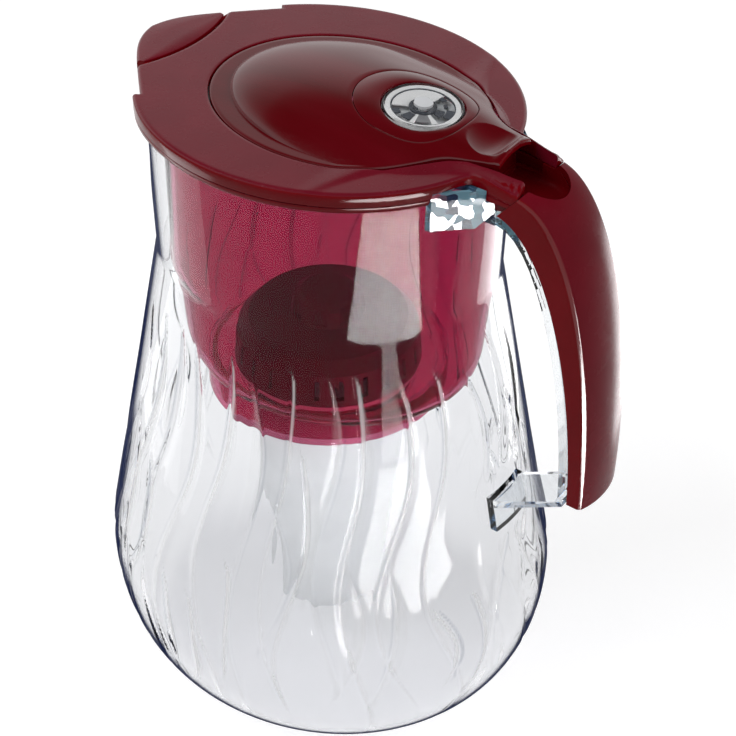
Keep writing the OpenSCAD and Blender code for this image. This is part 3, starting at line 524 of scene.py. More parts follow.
# the hatch and the counter's bezel: a darker red than the lid, painted shade for the dome's dimly lit near
# half, with a colour drift drawn out along X
M_HATCH_SHADED = moulded("red_gloss_painted_shade", (0.082, 0.0006, 0.002), (0.105, 0.0016, 0.005), (0.10, 0.17),
                  scale=30, level=0.5, stretch=(0.4, 2.2, 1))
M_SHELL = moulded("white_shell", (0.58, 0.59, 0.60), (0.63, 0.64, 0.65), (0.35, 0.45), level=0.4)
M_CAP = moulded("dark_cap", (0.070, 0.013, 0.024), (0.085, 0.017, 0.029), (0.3, 0.4), level=0.3)
M_SEAL = moulded("seal", (0.03, 0.03, 0.03), (0.05, 0.05, 0.05), (0.5, 0.6), level=0.3)
M_BED = moulded("granules", (0.01, 0.01, 0.012), (0.05, 0.05, 0.055), (0.6, 0.8), 500, 0.6, 600)
M_WINDOW = clear("window", (0.99, 0.99, 0.99), (0.35, 0.37, 0.40), 1.25, 0.01, (0.75, 0.98), (1.0, 1.0, 1.0))
M_DIAL = moulded("dial_face", (0.72, 0.76, 0.79), (0.80, 0.83, 0.85), (0.2, 0.3), level=0.6)
M_PRINT = moulded("dial_light", (0.90, 0.91, 0.92), (0.94, 0.945, 0.95), (0.2, 0.3), level=0.5)
M_SLATE = moulded("dial_dark", (0.018, 0.022, 0.035), (0.03, 0.04, 0.06), (0.15, 0.25), level=0.6)
M_GREY = moulded("grey_plastic", (0.22, 0.22, 0.235), (0.27, 0.27, 0.285), (0.3, 0.4))
M_STEEL = moulded("steel", (0.52, 0.52, 0.53), (0.60, 0.60, 0.61), (0.2, 0.3), metallic=1.0,
                  bump=0.1, stretch=(1, 8, 1))
M_BUTTON = moulded("button", (0.55, 0.56, 0.58), (0.62, 0.63, 0.65), (0.15, 0.25), level=0.6)


# ------------------------------------------------------------------ vessel
def vessel_r(z):
    """Half length of the vessel at height z: base curve, arc of the belly, cone and neck."""
    z = np.asarray(z, float)
    tilt = math.atan(CONE_SLOPE)
    arc_z = BELLY_Z + BELLY_ARC * math.sin(tilt)
    drop = (NECK_R + CONE_SLOPE * (NECK_Z - arc_z)) - (BELLY_R - BELLY_ARC * (1 - math.cos(tilt)))
    low = BASE_R + (BELLY_R - BASE_R) * np.sqrt(np.maximum(0, 1 - (1 - z / BELLY_Z) ** 2))
    arc = BELLY_R - BELLY_ARC + np.sqrt(np.maximum(0, BELLY_ARC ** 2 - (z - BELLY_Z) ** 2))
    cone = NECK_R + CONE_SLOPE * (NECK_Z - z) - drop * (NECK_Z - z) / (NECK_Z - arc_z)
    neck = NECK_R + (RIM_R - NECK_R) * (z - NECK_Z) / (RIM_Z - NECK_Z)
    return np.where(z <= BELLY_Z, low, np.where(z <= arc_z, arc, np.where(z <= NECK_Z, cone, neck)))


def oval_at(z):
    return OVAL_BASE + (OVAL_RIM - OVAL_BASE) * z / RIM_Z


def oval(a, r, q):
    """Distance from the centre of an ellipse of half axes r and q in direction a."""
    return r * q / np.sqrt((q * np.cos(a)) ** 2 + (r * np.sin(a)) ** 2)


def vessel_k(a, z, d):
    """Distance from the axis to the wall moved in by d, with the spout drawn out near the rim."""
    full = vessel_r(z)
    side = oval(a, full - d, full * oval_at(z) - d)
    share = ramp(z, SPOUT_Z, RIM_Z - 4) * (1 - ramp(off_spout(a), 36, 45))
    return side + (prow(0, a, 2.5 + d) - side) * share


def hash01(k, salt):
    """A fixed number from 0 to 1 that looks random, one for each groove and use."""
    return (math.sin(k * 12.9898 + salt * 78.233) * 43758.5453) % 1.0


def waves(a, z):
    """Depth in mm of the flame-like grooves in the outer wall, and their painted light and shade from -1 to
    1: painted shade below 0 and painted highlight above.
    """
    deg = np.degrees(a) % 360
    depth, tone = np.zeros(np.broadcast(a, z).shape), np.zeros(np.broadcast(a, z).shape)
    for k in range(GROOVES):
        # its upper and lower end, its swaying path and its half width in degrees
        tip = 201 - 14 * hash01(k, 1) if k % 2 == 0 else 176 - 96 * hash01(k, 2)
        low = 4 + 30 * hash01(k, 3)
        sway, length = 3.6 + 3.0 * hash01(k, 4), 120 + 40 * hash01(k, 5)
        middle = 360 * (k + 0.5 * (hash01(k, 6) - 0.5)) / GROOVES
        path = middle + sway * np.sin(2 * math.pi * (tip - z) / length + 0.6 * (hash01(k, 7) - 0.5))
        half = (2.0 + 1.8 * hash01(k, 8)) * ramp(tip - z, 0, 40) ** 0.8 * (1 - 0.55 * ramp(z, low + 45, low))
        half = np.maximum(half, 0.02)
        # the place across it, from -1 at its steep side to 1 at its gentle one
        side = 1.0 if hash01(k, 9) > 0.4 else -1.0
        t = side * ((deg - path + 180) % 360 - 180) / half
        fade = ramp(tip - z, 0, 10) * ramp(z - low, 0, 25) * ((z < tip) & (z > low))
        cut = ramp(t, -1.0, -0.5) * (1 - ramp(t, -0.5, 1.0)) * fade
        depth = np.maximum(depth, cut * (0.60 + 0.50 * hash01(k, 10)))
        # painted light and shade: a dark line of painted shade at the steep side, a painted highlight beside
        # it, and a pale painted highlight over the body of some
        thin = LINE_W / np.maximum(half, LINE_W)
        dark = np.exp(-((t + 0.9) / thin) ** 2) * fade * (0.2 + 0.7 * hash01(k, 11))
        light = np.exp(-((t + 0.9 - 2.2 * thin) / thin) ** 2) * fade * (0.2 + 0.7 * (hash01(k, 12) > 0.5))
        body = ramp(t, -0.9, -0.6) * (1 - ramp(t, 0.2, 0.9)) * fade * (hash01(k, 13) > 0.45)
        tone = tone + (0.4 + 0.6 * ramp(z, tip - 85, tip - 25)) * (light - dark + 0.27 * body)
    # none on the pad where the handle's lower arm joins
    pad = 1 - ramp(np.abs((deg + 180) % 360 - 180), 8, 13)
    keep = 1 - pad * ramp(z, 96, 106) * (1 - ramp(z, 129, 139))
    return depth * keep, np.clip(tone * keep, -1, 1)


def point_attribute(ob, name, values, kind="FLOAT", field="value"):
    at = ob.data.attributes.new(name, kind, "POINT")
    at.data.foreach_set(field, np.asarray(values).reshape(-1).astype(np.float32))


def build_vessel():
    a = np.linspace(0, 2 * math.pi, WALL_STEPS, endpoint=False)
    low = [BELLY_Z * (1 - math.cos(math.radians(t))) for t in np.linspace(4, 90, 34)]
    high = list(np.linspace(BELLY_Z, RIM_Z - 0.8, 118))[1:]
    rings, tones, plain, outer = [], [], [], []

    def ring(z, d, lift=0.0, relief=False, share=1.0):
        """One ring at height z, moved in by d, lifted, and shrunk to a share of its size."""
        level = np.full(WALL_STEPS, float(z))
        cut, tone = waves(a, level) if relief else (np.zeros(WALL_STEPS), np.zeros(WALL_STEPS))
        smooth = vessel_k(a, level, d) * share
        r = smooth - cut * share
        rings.append(np.stack([r * np.cos(a), r * np.sin(a), level + lift], -1))
        plain.append(np.stack([smooth * np.cos(a), smooth * np.sin(a), level + lift], -1))
        outer.append(np.full(WALL_STEPS, float(relief)))
        tones.append(tone)

    # the underside, the outer wall, the rim's round edge, the inner wall and the inner floor
    for share, lift in ((0.2, 0.4), (0.5, 0.4), (0.8, 0.4), (0.86, 0.36), (0.91, 0.2), (0.96, OFF_FLOOR)):
        ring(0.0, 0, lift, False, share)
    ring(0.0, 0, OFF_FLOOR)
    for z in low + high:
        ring(z, 0, 0, True)
    ring(RIM_Z - 0.25, 0.2)
    ring(RIM_Z, 0.75)
    ring(RIM_Z, WALL - 0.75)
    ring(RIM_Z - 0.25, WALL - 0.2)
    for z in high[::-2]:
        ring(z, WALL)
    for z in low[::-1]:
        ring(z, WALL, WALL * max(0.0, 1 - z / 6.0) * 0.98)
    for share in (0.8, 0.5, 0.2):
        ring(low[0], WALL, WALL * 0.98, False, share)
    ob = new_object("vessel_wall", *capped(rings), "jug", "clear_plastic", M_JUG, smooth=60)
    # the grooves' painted light and shade, for the wall's material
    point_attribute(ob, "wave", tones)
    # the wall's direction without its grooves, and where that outer wall is
    p = np.stack(plain)
    way = np.cross(np.roll(p, -1, 1) - np.roll(p, 1, 1), np.gradient(p, axis=0))
    way /= np.maximum(np.linalg.norm(way, axis=-1, keepdims=True), 1e-9)
    point_attribute(ob, "plain", way, "FLOAT_VECTOR", "vector")
    point_attribute(ob, "outer", outer)
    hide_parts("jug")


# ------------------------------------------------------------------ funnel
def funnel_ring(a, z, r, q, x):
    """An oval ring of half axes r and q at height z about (x, 0), flattened towards the spout."""
    full = oval(a, r, q)
    flat = wall(RIM_R - 10 + (r - RIM_R) * 0.5, -np.cos(a))
    side = wall(SUM - math.sqrt(2) * (2.5 + RIM_R - r), np.abs(np.sin(a)) - np.cos(a))
    side = side + (full + 2 - side) * np.clip(x / 0.8, 0, 1) * (side < full + 2)
    k = soft_min(soft_min(full, flat, 40.0), side, 40.0)
    return np.stack([x + k * np.cos(a), k * np.sin(a), np.full(len(a), z)], -1)


def build_funnel():
    a = np.linspace(0, 2 * math.pi, 240, endpoint=False)
    # the neck's half axes with a gap to the vessel, and the flange's on the vessel's rim
    r, q = NECK_R - WALL - 0.7, NECK_R * oval_at(NECK_Z) - WALL - 0.7
    w, flange_r, flange_q = FUNNEL_W, RIM_R - 0.9, RIM_R * OVAL_RIM - 0.9
    # height, half length, half width and centre, from the hole in the floor outwards and up, then back
    outside = [(155, 47, 45, 1.5), (155, 54, 48, 2.5), (159, 60, 52, 2.5), (167, 62.5, 54, 2.5),
               (196, 64.5, 55.5, 2.5), (205, r, q, 0), (265, r + 0.4, q + 0.4, 0),
               (266, r + 0.4, q + 0.4, 0), (266, flange_r, flange_q, 0), (268, flange_r, flange_q, 0)]
    inside = [(268, r - w, q - w, 0), (205, r - w, q - w, 0), (196, 64.5 - w, 55.5 - w, 2.5),
              (167, 62.5 - w, 54 - w, 2.5), (160, 60 - w, 52 - w, 2.5), (157, 54 - w, 48 - w, 2.5),
              (157, 47, 45, 1.5)]
    corners = [0.4, 5, 6, 9, 9, 6, 0.3, 0.3, 0.5, 0.6, 0.6, 6, 9, 9, 6, 5, 0.4]
    rings = [funnel_ring(a, *p) for p in rounded(outside + inside, corners)]
    ob = new_object("funnel_shell", *loft(rings), "funnel", "ruby_plastic", M_RUBY, smooth=50)
    s, k = SUMP_R, SOCKET_R
    sump = [(k, 142), (s - 1, 142), (s, 143), (s, 156), (s - w, 156), (s - w, 144), (k + 2.2, 144),
            (k + 2.2, 150), (k, 150)]
    sump = rounded(sump, [0.3, 0.5, 1, 0.3, 0.3, 1.2, 0.8, 0.4, 0.4], 3)
    cup = new_object("sump", *revolve(sump, 120), None, None, M_RUBY)
    apply_boolean(ob, cup, "UNION", smooth=50)
    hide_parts("funnel")


# ------------------------------------------------------------------ lid, hatch, bezel, flap
def fine_angles(extra=()):
    """Angles round the pole in radians, with extra ones in degrees on both sides, less close ones."""
    base = np.concatenate([np.linspace(0, 360, 300, endpoint=False), extra, [360 - e for e in extra]])
    base = np.unique(np.round(base, 3))
    keep = [base[0]]
    for b in base[1:]:
        if b - keep[-1] > 0.12:
            keep.append(b)
    return np.radians(keep)


def lid_section(a):
    """The lid's section: its top, its round edge, the stepped skirt, and the ledge under the hatch."""
    seam = 0.65 + 0.35 * ramp(np.cos(a), 0.2, 0.8)
    inner, outer = hatch_plan(a) + seam, lid_edge(a)
    # there is no skirt where the spout flap takes over
    at_flap = outer < lid_plan(a) - 0.3
    low = np.where(at_flap, UNDER_Z - 0.3, SKIRT_Z)
    seat = np.where(at_flap, UNDER_Z - 0.15, FLANGE_Z)
    foot = outer - skirt_in(a)
    back = foot - SKIRT_T
    shelf = np.maximum(inner + 0.6, back - 4)
    lip = inner - 2.6 * (1 - ramp(np.cos(a), 0.3, 0.75)) - 0.05
    span = outer - TOP_EDGE - inner - EDGE_R
    rows = [on_top(a, inner, EDGE_R), on_top(a, inner + EDGE_MID, EDGE_MID), on_top(a, inner + EDGE_R, 0)]
    rows += [on_top(a, inner + EDGE_R + span * (i / 26), 0) for i in range(1, 27)]
    for c, s in map(cos_sin, (18, 36, 54, 72)):
        rows.append(on_top(a, outer - TOP_EDGE * (1 - s), TOP_EDGE * (1 - c)))
    top = on_top(a, outer, TOP_EDGE)[1]

    def side(share, d):
        """A row at a share of the way down the skirt, moved in by d."""
        return outer + (foot - outer) * share - d, top + (low - top) * share

    rows += [side(0, 0), side(0.3, 0), side(0.58, 0), side(0.6, 0.25), side(0.61, 0.75),
             side(0.655, 0.75), side(0.665, 0.3), side(0.7, 0.22), side(0.95, 0.22), (foot - 0.5, low)]
    under, ledge = np.full(len(a), FLANGE_Z + 0.3), np.full(len(a), LID_Z - HATCH_T - 0.3)
    return rows + [(back, low), (back, seat), (shelf, seat), (shelf - 0.3, under), (lip, under),
                   (lip, ledge), (inner, ledge)]


def build_lid():
    # extra angles at the flap's corners and the ends of its seat
    corners = [154.9, 155.1, 166.2, 166.6, 167.0]
    ob = section_loft("lid_cover", fine_angles(corners), lid_section, "lid", "red_plastic", M_LID)
    # the lugs that hold the axle, beside the tab
    lug_y = tab_half(AXLE_X) + 0.8 + LUG_W
    for s in (-1, 1):
        lug = prism("lug", box_points(68, 76, 268.3, 271.9), LUG_W, s * lug_y, material=M_LID)
        apply_boolean(ob, lug, "UNION")
    # the opening for the tab
    opening = [(66, -14.65), (75.5, -13.4), (82, -12.0), (92, -10.6)]
    opening += [(x, -y) for x, y in opening[::-1]]
    apply_boolean(ob, column("opening", opening, 261, 301))
    # room for the tray, and the root's slanted end, clear of the handle's cover
    apply_boolean(ob, prism("tray_room", box_points(85.5, 96, 262, 267.9), 13.6))
    slant = [(82.2, 256.5), (83.9, 258.85), (92.0, 268.55), (97.65, 275.5), (105.7, 275.5), (105.7, 256.5)]
    apply_boolean(ob, prism("slant", slant, 30))
    # room beside the root for the wings of the clear frame
    for s in (-1, 1):
        apply_boolean(ob, prism("wing_room", box_points(62, 90, 262.3, 268.4), 7.0, s * 22.61))
    two_tone_faces(ob, M_RED, lambda n, c: abs(n.z) < 0.6 and c.z < LID_Z - 0.2)
    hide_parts("lid")


def hatch_section(a):
    """The hatch's section: from the bezel over the dome to its edge, and back along the underside."""
    inner, outer = bezel_plan(a) + 0.15, hatch_plan(a)
    # a row lies on the dome's foot, where the surface bends
    foot = np.minimum(outer - 1.5, ray_oval(POLE, a, DOME_X, DOME_A, DOME_B))

    def at(r, d):
        return on_top(a, r, d, tab_z)

    rows = [at(inner, 0.35), at(inner + 0.1, 0.1), at(inner + 0.35, 0)]
    shares = [i / 22 for i in range(1, 22)] + [0.985, 1.0]
    rows += [at(inner + 0.35 + (foot - inner - 0.35) * k, 0) for k in shares]
    rows += [at(foot + (outer - 0.7 - foot) * k, 0) for k in (0.12, 0.24, 0.36, 0.48, 0.6, 0.72, 0.84)]
    rows += [at(outer - 0.7, 0), at(outer - 0.35, 0.1), at(outer - 0.1, 0.35), at(outer, 0.7)]
    rows += [at(outer, HATCH_T)]
    rows += [at(inner + (outer - inner) * k, HATCH_T) for k in (0.9, 0.7, 0.5, 0.25, 0.0)]
    return rows


def build_hatch():
    ob = section_loft("hatch_cover", fine_angles(np.arange(0.3, 26, 0.45)), hatch_section, "hatch",
                      "red_plastic", M_HATCH_SHADED)
    # the tab's end
    two_tone_faces(ob, M_RED, lambda n, c: n.x > 0.5 and abs(n.z) < 0.75 and c.x > TAB_X - 4.1)
    # the barrel round the axle
    w = BARREL_W
    v, f = revolve(rounded([(BARREL_BORE, -w), (BARREL_R, -w), (BARREL_R, w), (BARREL_BORE, w)], 0.2), 48)
    v = np.stack([v[:, 0] + AXLE_X, v[:, 2], v[:, 1] + AXLE_Z], -1)
    barrel = new_object("hatch_barrel", v, f, "hatch", "red_plastic", M_RED)
    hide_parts("hatch")
    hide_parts("hatch")


def bezel_section(a):
    """The bezel's section: a top that follows the dome, and a foot cut to the counter's tilt."""
    inner, outer = window_plan(a), bezel_plan(a)
    foot = np.minimum(inner + 2, outer - 0.5)
    tilt = math.radians(TILT)

    def low(r):
        return DIAL_Z - BEZEL_DEPTH / math.cos(tilt) - (POLE + r * np.cos(a) - DIAL_X) * math.tan(tilt)

    return [on_top(a, inner, EDGE_R), on_top(a, inner + EDGE_MID, EDGE_MID), on_top(a, inner + EDGE_R, 0),
            on_top(a, inner + EDGE_R + (outer - inner - 2 * EDGE_R) * 0.5, 0), on_top(a, outer - EDGE_R, 0),
            on_top(a, outer - EDGE_MID, EDGE_MID), on_top(a, outer, EDGE_R), on_top(a, outer, HATCH_T),
            on_top(a, np.minimum(foot + 0.4, outer - 0.3), HATCH_T), (foot, low(foot)), (inner, low(inner))]


def build_bezel():
    bezel = section_loft("counter_ring", fine_angles(), bezel_section, "hatch", "red_plastic", M_HATCH_SHADED)
    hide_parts("counter_bezel")


def build_flap():
    a = np.radians(np.linspace(180 - FLAP_ANGLE, 180 + FLAP_ANGLE, 61))
    inner = near_circle(POLE, a, -FLAP_X - FLAP_R, FLAP_R)
    outer = np.maximum(inner + 2.8, prow(POLE, a, 0))
    z = np.full(len(a), LID_Z)
    rows = [(inner, z - 0.4), (inner + 0.12, z - 0.12), (inner + 0.4, z)]
    rows += [(inner + 0.4 + (outer - TOP_EDGE - inner - 0.4) * k, z) for k in (0.33, 0.66, 1)]
    for c, s in map(cos_sin, (22, 45, 68)):
        rows.append((outer - TOP_EDGE * (1 - s), z - TOP_EDGE * (1 - c)))
    rows += [(outer, z - TOP_EDGE), (outer, z - 4), (outer - 1.6, z - 4)]
    rows += [(outer - 1.7, z - 2), (inner, z - 2)]
    ob = new_object("flap_cover", *capped(pole_rings(a, rows)), "spout_flap", "red_plastic", M_LID)
    two_tone_faces(ob, M_RED, lambda n, c: abs(n.z) < 0.55)
    turn = np.linspace(0, 2 * math.pi, 24, endpoint=False)
    disc = [(PIN_X + PIN_R * math.cos(t), PIN_Z + PIN_R * math.sin(t)) for t in turn]
    for s in (-1, 1):
        apply_boolean(ob, prism("flap_pin", disc, 4.8, s * PIN_Y, material=M_RED), "UNION")
    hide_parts("spout_flap")


# ------------------------------------------------------------------ handle
# The cover's inner and outer line in side view, as (x, z), from the lid down to the foot
COVER_INSIDE = [(84, 258.8), (105.5, 254.5), (120.3, 195), (121, 143)]
COVER_OUTSIDE = [(92.1, 268.5), (115.6, 263.3), (128.1, 201), (126.6, 143)]
# How far its rounded sides drop below the outer line
SHOULDER = 1.2


def bezier(p, t):
    p, s = [np.array(q, float) for q in p], 1 - t
    return s ** 3 * p[0] + 3 * s * s * t * p[1] + 3 * s * t * t * p[2] + t ** 3 * p[3]


def cover_ring(t, half, inset):
    """The cover's section at t along its lines: a channel with a crowned back, moved in by inset."""
    w = half - (COVER_W - FOOT_W) * t
    edge, back = bezier(COVER_INSIDE, t), bezier(COVER_OUTSIDE, t)
    out = (back - edge) / np.linalg.norm(back - edge)
    base = back - inset * out
    pts = [(edge, -w, 0), (base, -w, -2 * SHOULDER), (base, -w, -SHOULDER)]
    ys = [0, 0.15, 0.3, 0.45, 0.58, 0.7, 0.8, 0.88, 0.93, 0.95, 0.97, 0.985, 0.995]
    for y in [-v for v in ys[:0:-1]] + ys:
        h = CROWN * (1 - abs(y) ** 2.2) - SHOULDER * max(0, (abs(y) - 0.93) / 0.07) ** 2
        pts.append((base, w * y, h))
    pts += [(base, w, -SHOULDER), (base, w, -2 * SHOULDER), (edge, w, 0)]
    return [(p[0] + out[0] * h, y, p[1] + out[1] * h) for p, y, h in pts]


def thumb_well():
    """Cutter for the hollow behind the tab: a bowl with a round end and a soft lower corner."""
    plan = [(WELL_FROM, WELL_W), (WELL_FROM, -WELL_W)]
    for t in np.linspace(-math.pi / 2, math.pi / 2, 31):
        plan.append((WELL_END + WELL_W * math.cos(t), WELL_W * math.sin(t)))
    plan = np.asarray(plan)
    rings = [np.column_stack([plan, np.full(len(plan), 296.0)])]
    # how far the wall has moved in, and its height over the floor there
    for d, h in ((0, 2.4), (0.25, 1.3), (0.9, 0.5), (2.0, 0.12), (3.4, 0.0), (7.0, 0.0)):
        x = np.where(plan[:, 0] > 76, 89 + (plan[:, 0] - 89) * (1 - d / 13), plan[:, 0] + 1.0)
        floor = 260.8 - 0.6 * ramp(x, 86, 96) + 2.6 * ramp(x, 96, 102)
        rings.append(np.column_stack([x, plan[:, 1] * (1 - d / WELL_W), floor + h]))
    return new_object("well", *capped(rings), None, None, None)


def build_cover():
    rows = []
    for t in np.linspace(1, 0, 61):
        inside = cover_ring(t, COVER_W - COVER_WALL, COVER_WALL)
        rows.append(cover_ring(t, COVER_W, 0) + inside[::-1])
    rows = np.asarray(rows)
    n, m = rows.shape[:2]
    faces = band_quads(n, m, False).tolist()
    # both ends, closed by quads between the outer and the inner line
    for k in range(m // 2 - 1):
        quad = [k, k + 1, m - 2 - k, m - 1 - k]
        faces.append(quad)
        faces.append([(n - 1) * m + x for x in quad[::-1]])
    ob = new_object("handle_back", rows.reshape(-1, 3), faces, "jug", "red_plastic", M_BACK)
    foot = [cover_ring(t, COVER_W - 0.5, 0.5) for t in (0.998, 0.955)]
    plug = new_object("handle_foot", *capped(foot), "jug", "red_plastic", M_BACK)
    side = [(72.6, 259.6), (85, 259.6), (97, 257.2), (105, 254.6), (105, 257), (99.5, 263.2), (94, 266.6),
            (92.3, 267.6), (72.6, 267.7)]
    # the whole tray in the darker red: painted shade under the tab
    tray = prism("thumb_tray", side, TRAY_W, 0.0, "jug", "red_plastic", M_WELL_SHADE)
    apply_boolean(ob, thumb_well())
    apply_boolean(tray, thumb_well())
    # room for the wider part of the tab when it is pressed
    apply_boolean(tray, prism("tab_room", box_points(74.1, 86, 263.4, 296), 12))
    two_tone_faces(ob, M_RED, lambda n, c: abs(n.y) > 0.93 and abs(c.y) > 12.6)
    # the hollow's inner walls and overhangs in the darker red: painted shade
    two_tone_faces(ob, M_WELL_SHADE, lambda n, c: abs(c.y) < WELL_W + 0.2 and c.x < 102.1 and c.z > 259.5
                   and (abs(n.z) < 0.35 or n.z < 0))
    two_tone_faces(ob, M_EDGE, lambda n, c: 0.60 < abs(n.y) <= 0.93 and abs(c.y) > 12.2)
    bevel(ob, 0.4, 3, 50)
    bevel(tray, 0.3, 2, 40)
    for o in (ob, plug, tray):
        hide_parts("handle_cover")


# ------------------------------------------------------------------ counter's face
# Plain bars on the face: inner and outer radius, middle and span in degrees, and material
FACE_MARKS = ((5.1, 9.4, 268, 34, M_GREY), (5.6, 9.6, 226, 24, M_SLATE), (8.6, 11.1, 196, 16, M_SLATE),
              (5.1, 8.0, 330, 32, M_SLATE), (8.4, 11.1, 338, 30, M_SLATE), (7.6, 9.0, 10, 12, M_SLATE),
              (8.2, 10.2, 38, 14, M_SLATE), (5.1, 11.1, 246, 10, M_PRINT), (5.1, 11.1, 291, 12, M_PRINT),
              (5.1, 11.1, 110, 130, M_PRINT))


def dial_plate(name, r0, r1, mid, span, z0, z1, material, steps=None):
    """A flat ring, or part of one, in the counter's tilted frame.

    mid and span are in degrees, and mid starts at FACE_TURN, the camera's right-hand side.
    """
    full = span >= 360
    count = (steps or max(6, int(span / 6))) + (0 if full else 1)
    turn = np.radians(np.linspace(mid - span / 2, mid + span / 2, count, endpoint=not full) + FACE_TURN)
    rings = [[(r * math.cos(t), r * math.sin(t), z) for r, z in ((r0, z0), (r1, z0), (r1, z1), (r0, z1))]
             for t in turn]
    v, f = loft(rings) if full else capped(rings)
    c, s = cos_sin(TILT)
    v = np.stack([DIAL_X + v[:, 0] * c + v[:, 2] * s, v[:, 1], DIAL_Z - v[:, 0] * s + v[:, 2] * c], -1)
    new_object(name, v, f, "hatch", "dial_plastic", material)


def build_counter_face():
    dial_plate("face_rim", 11.7, 13.5, 0, 360, -2.1, -1.5, M_PRINT, 72)
    dial_plate("face_line", 11.2, 11.6, 0, 360, -2.0, -1.7, M_SLATE, 72)
    dial_plate("hub_ring", 3.7, 5.0, 0, 360, -2.2, -1.5, M_SLATE, 48)
    for k, (r0, r1, mid, span, material) in enumerate(FACE_MARKS):
        dial_plate("face_mark_%d" % k, r0, r1, mid, span, -2.3 - 0.05 * (k % 3), -1.9, material)


# ------------------------------------------------------------------ build
NODE_MATERIALS = {
    "handle_frame": M_CORE, "hatch_axle": M_STEEL, "counter_window": M_WINDOW, "counter_housing": M_GREY,
    "check_spring": M_STEEL, "button_spring": M_STEEL, "counter_dial": M_DIAL, "ratchet_wheel": M_GREY,
    "counter_button": M_BUTTON, "cartridge_shell": M_SHELL, "cartridge_cap": M_CAP,
    "cartridge_ring": M_SEAL, "sorbent_bed": M_BED, "upper_screen": M_SHELL, "lower_screen": M_SHELL}

build_vessel()
build_funnel()
build_lid()
build_hatch()
build_bezel()
build_flap()
build_cover()
build_counter_face()
for name, material in NODE_MATERIALS.items():
    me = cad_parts[name].data
    me.materials.clear()
    me.materials.append(material)


# ------------------------------------------------------------------ floor, light and camera
# The camera's place and the point that it and two lamps look at, in metres
EYE, MIDDLE = Vector((0.3497, -0.4630, 0.6050)), Vector((0, 0, 0.150))
# The camera's roll in degrees and its sensor in mm; then in pixels, frame, focal length and centre
ROLL, SENSOR = -0.19, 36.0
FRAME, FOCAL, CENTRE_X, CENTRE_Y = 736.0, 1807.5, 328.56, 353.18
# Half the floor's side in mm, its glow, and the world's strength as light on the object
FLOOR_HALF, FLOOR_GLOW, ROOM_LIGHT = 6000.0, 0.56, 0.45
# The world's grey in gloss: the sine of the height over the horizon, and the level there
SKY = ((0.0, 1.0), (0.40, 0.92), (0.60, 0.24), (0.76, 0.02), (1.0, 0.01))


def build_floor():
    """A pale floor that keeps the shadow; its glow shows only to the camera, gloss and glass."""
    material, t, out = nodes_of("floor")
    lit = diffuse(t, two_tone(t, noise(t, 3, 2), (0.60, 0.60, 0.605), (0.62, 0.62, 0.625)))
    glow = node(t, "Emission", {"Strength": calculate(t, "MULTIPLY", direct_rays(t), FLOOR_GLOW)})
    both = node(t, "AddShader", {0: lit, 1: glow.outputs["Emission"]})
    t.links.new(both.outputs["Shader"], out.inputs["Surface"])
    s = FLOOR_HALF
    floor = new_object("floor", [(-s, -s, 0), (s, -s, 0), (s, s, 0), (-s, s, 0)], [[0, 1, 2, 3]],
                       None, None, material)


def build_world():
    """White for the camera and glass; in gloss, bright at the horizon and dim overhead."""
    world = bpy.data.worlds.new("studio")
    bpy.context.scene.world = world
    world.use_nodes = True
    t = world.node_tree
    t.nodes.clear()
    way = node(t, "SeparateXYZ", {"Vector": node(t, "TexCoord").outputs["Generated"]})
    sky = node(t, "ValToRGB", {"Fac": way.outputs["Z"]})
    sky.color_ramp.interpolation = "B_SPLINE"
    for k, (place, level) in enumerate(SKY):
        e = sky.color_ramp.elements[k] if k < 2 else sky.color_ramp.elements.new(place)
        e.position, e.color = place, (level, level, level, 1)
    glossy = node(t, "LightPath").outputs["Is Glossy Ray"]
    colour = mix_colour(t, glossy, (1, 1, 1, 1), sky.outputs["Color"])
    strength = remap(t, direct_rays(t), 0.0, 1.0, ROOM_LIGHT, 1.0)
    room = node(t, "Background", {"Color": colour, "Strength": strength})
    node(t, "OutputWorld", {"Surface": room.outputs["Background"]})


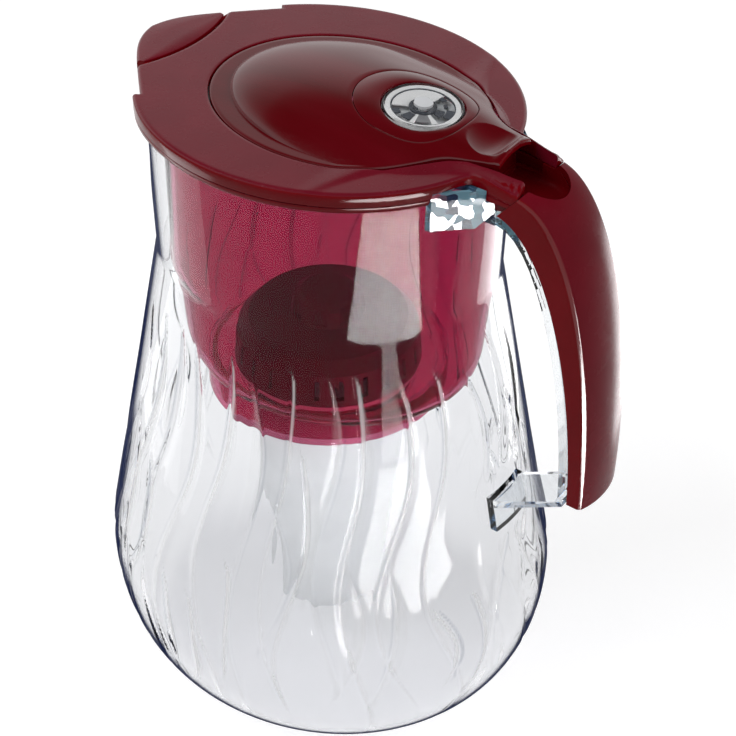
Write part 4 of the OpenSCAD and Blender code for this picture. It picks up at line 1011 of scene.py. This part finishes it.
def lamp(name, at, target, size, power, diffuse=True, glossy=True):
    """An area lamp that the camera and glass don't see."""
    d = bpy.data.lights.new(name, "AREA")
    d.shape = "RECTANGLE"
    d.size, d.size_y = size
    d.energy = power
    o = bpy.data.objects.new(name, d)
    o.location = at
    o.rotation_euler = (Vector(target) - Vector(at)).to_track_quat("-Z", "Y").to_euler()
    o.visible_camera = False
    o.visible_diffuse = diffuse
    o.visible_glossy = glossy
    o.visible_transmission = False
    bpy.context.scene.collection.objects.link(o)
    return o


def strip(name, bearing, near, far, width, radiance):
    """A long soft box near the floor that faces up and is seen only in gloss.

    bearing is its direction from the part in degrees, and near and far are its ends' distances.
    """
    b = math.radians(bearing)
    mid, length = (near + far) / 2, far - near
    x, y = mid * math.cos(b), mid * math.sin(b)
    o = lamp(name, (x, y, 0.004), (x, y, 1), (length, width), radiance * math.pi * length * width,
             diffuse=False)
    o.rotation_euler = (math.pi, 0, b)


def build_camera():
    data = bpy.data.cameras.new("camera")
    cam = bpy.data.objects.new("camera", data)
    bpy.context.scene.collection.objects.link(cam)
    cam.location = EYE
    look = (MIDDLE - EYE).to_track_quat("-Z", "Y").to_matrix()
    cam.rotation_euler = (look @ Matrix.Rotation(math.radians(ROLL), 3, "Z")).to_euler()
    data.sensor_width = SENSOR
    data.lens = FOCAL * SENSOR / FRAME
    data.shift_x = (FRAME / 2 - CENTRE_X) / FRAME
    data.shift_y = (CENTRE_Y - FRAME / 2) / FRAME
    data.clip_start = 0.05
    bpy.context.scene.camera = cam


build_floor()
build_world()
lamp("key", (-0.6, -0.9, 1.5), MIDDLE, (0.9, 0.9), 14, glossy=False)
lamp("fill", (1.1, 0.2, 1.1), MIDDLE, (0.8, 0.8), 6, glossy=False)
strip("strip_right", -30, 0.26, 0.47, 0.25, 62)
strip("strip_thin", -30, 0.48, 0.95, 0.11, 34)
strip("strip_left", -154, 0.26, 0.47, 0.20, 3)
strip("strip_back", 66, 0.26, 0.95, 0.22, 7)
build_camera()
bpy.context.scene.view_settings.view_transform = "Standard"
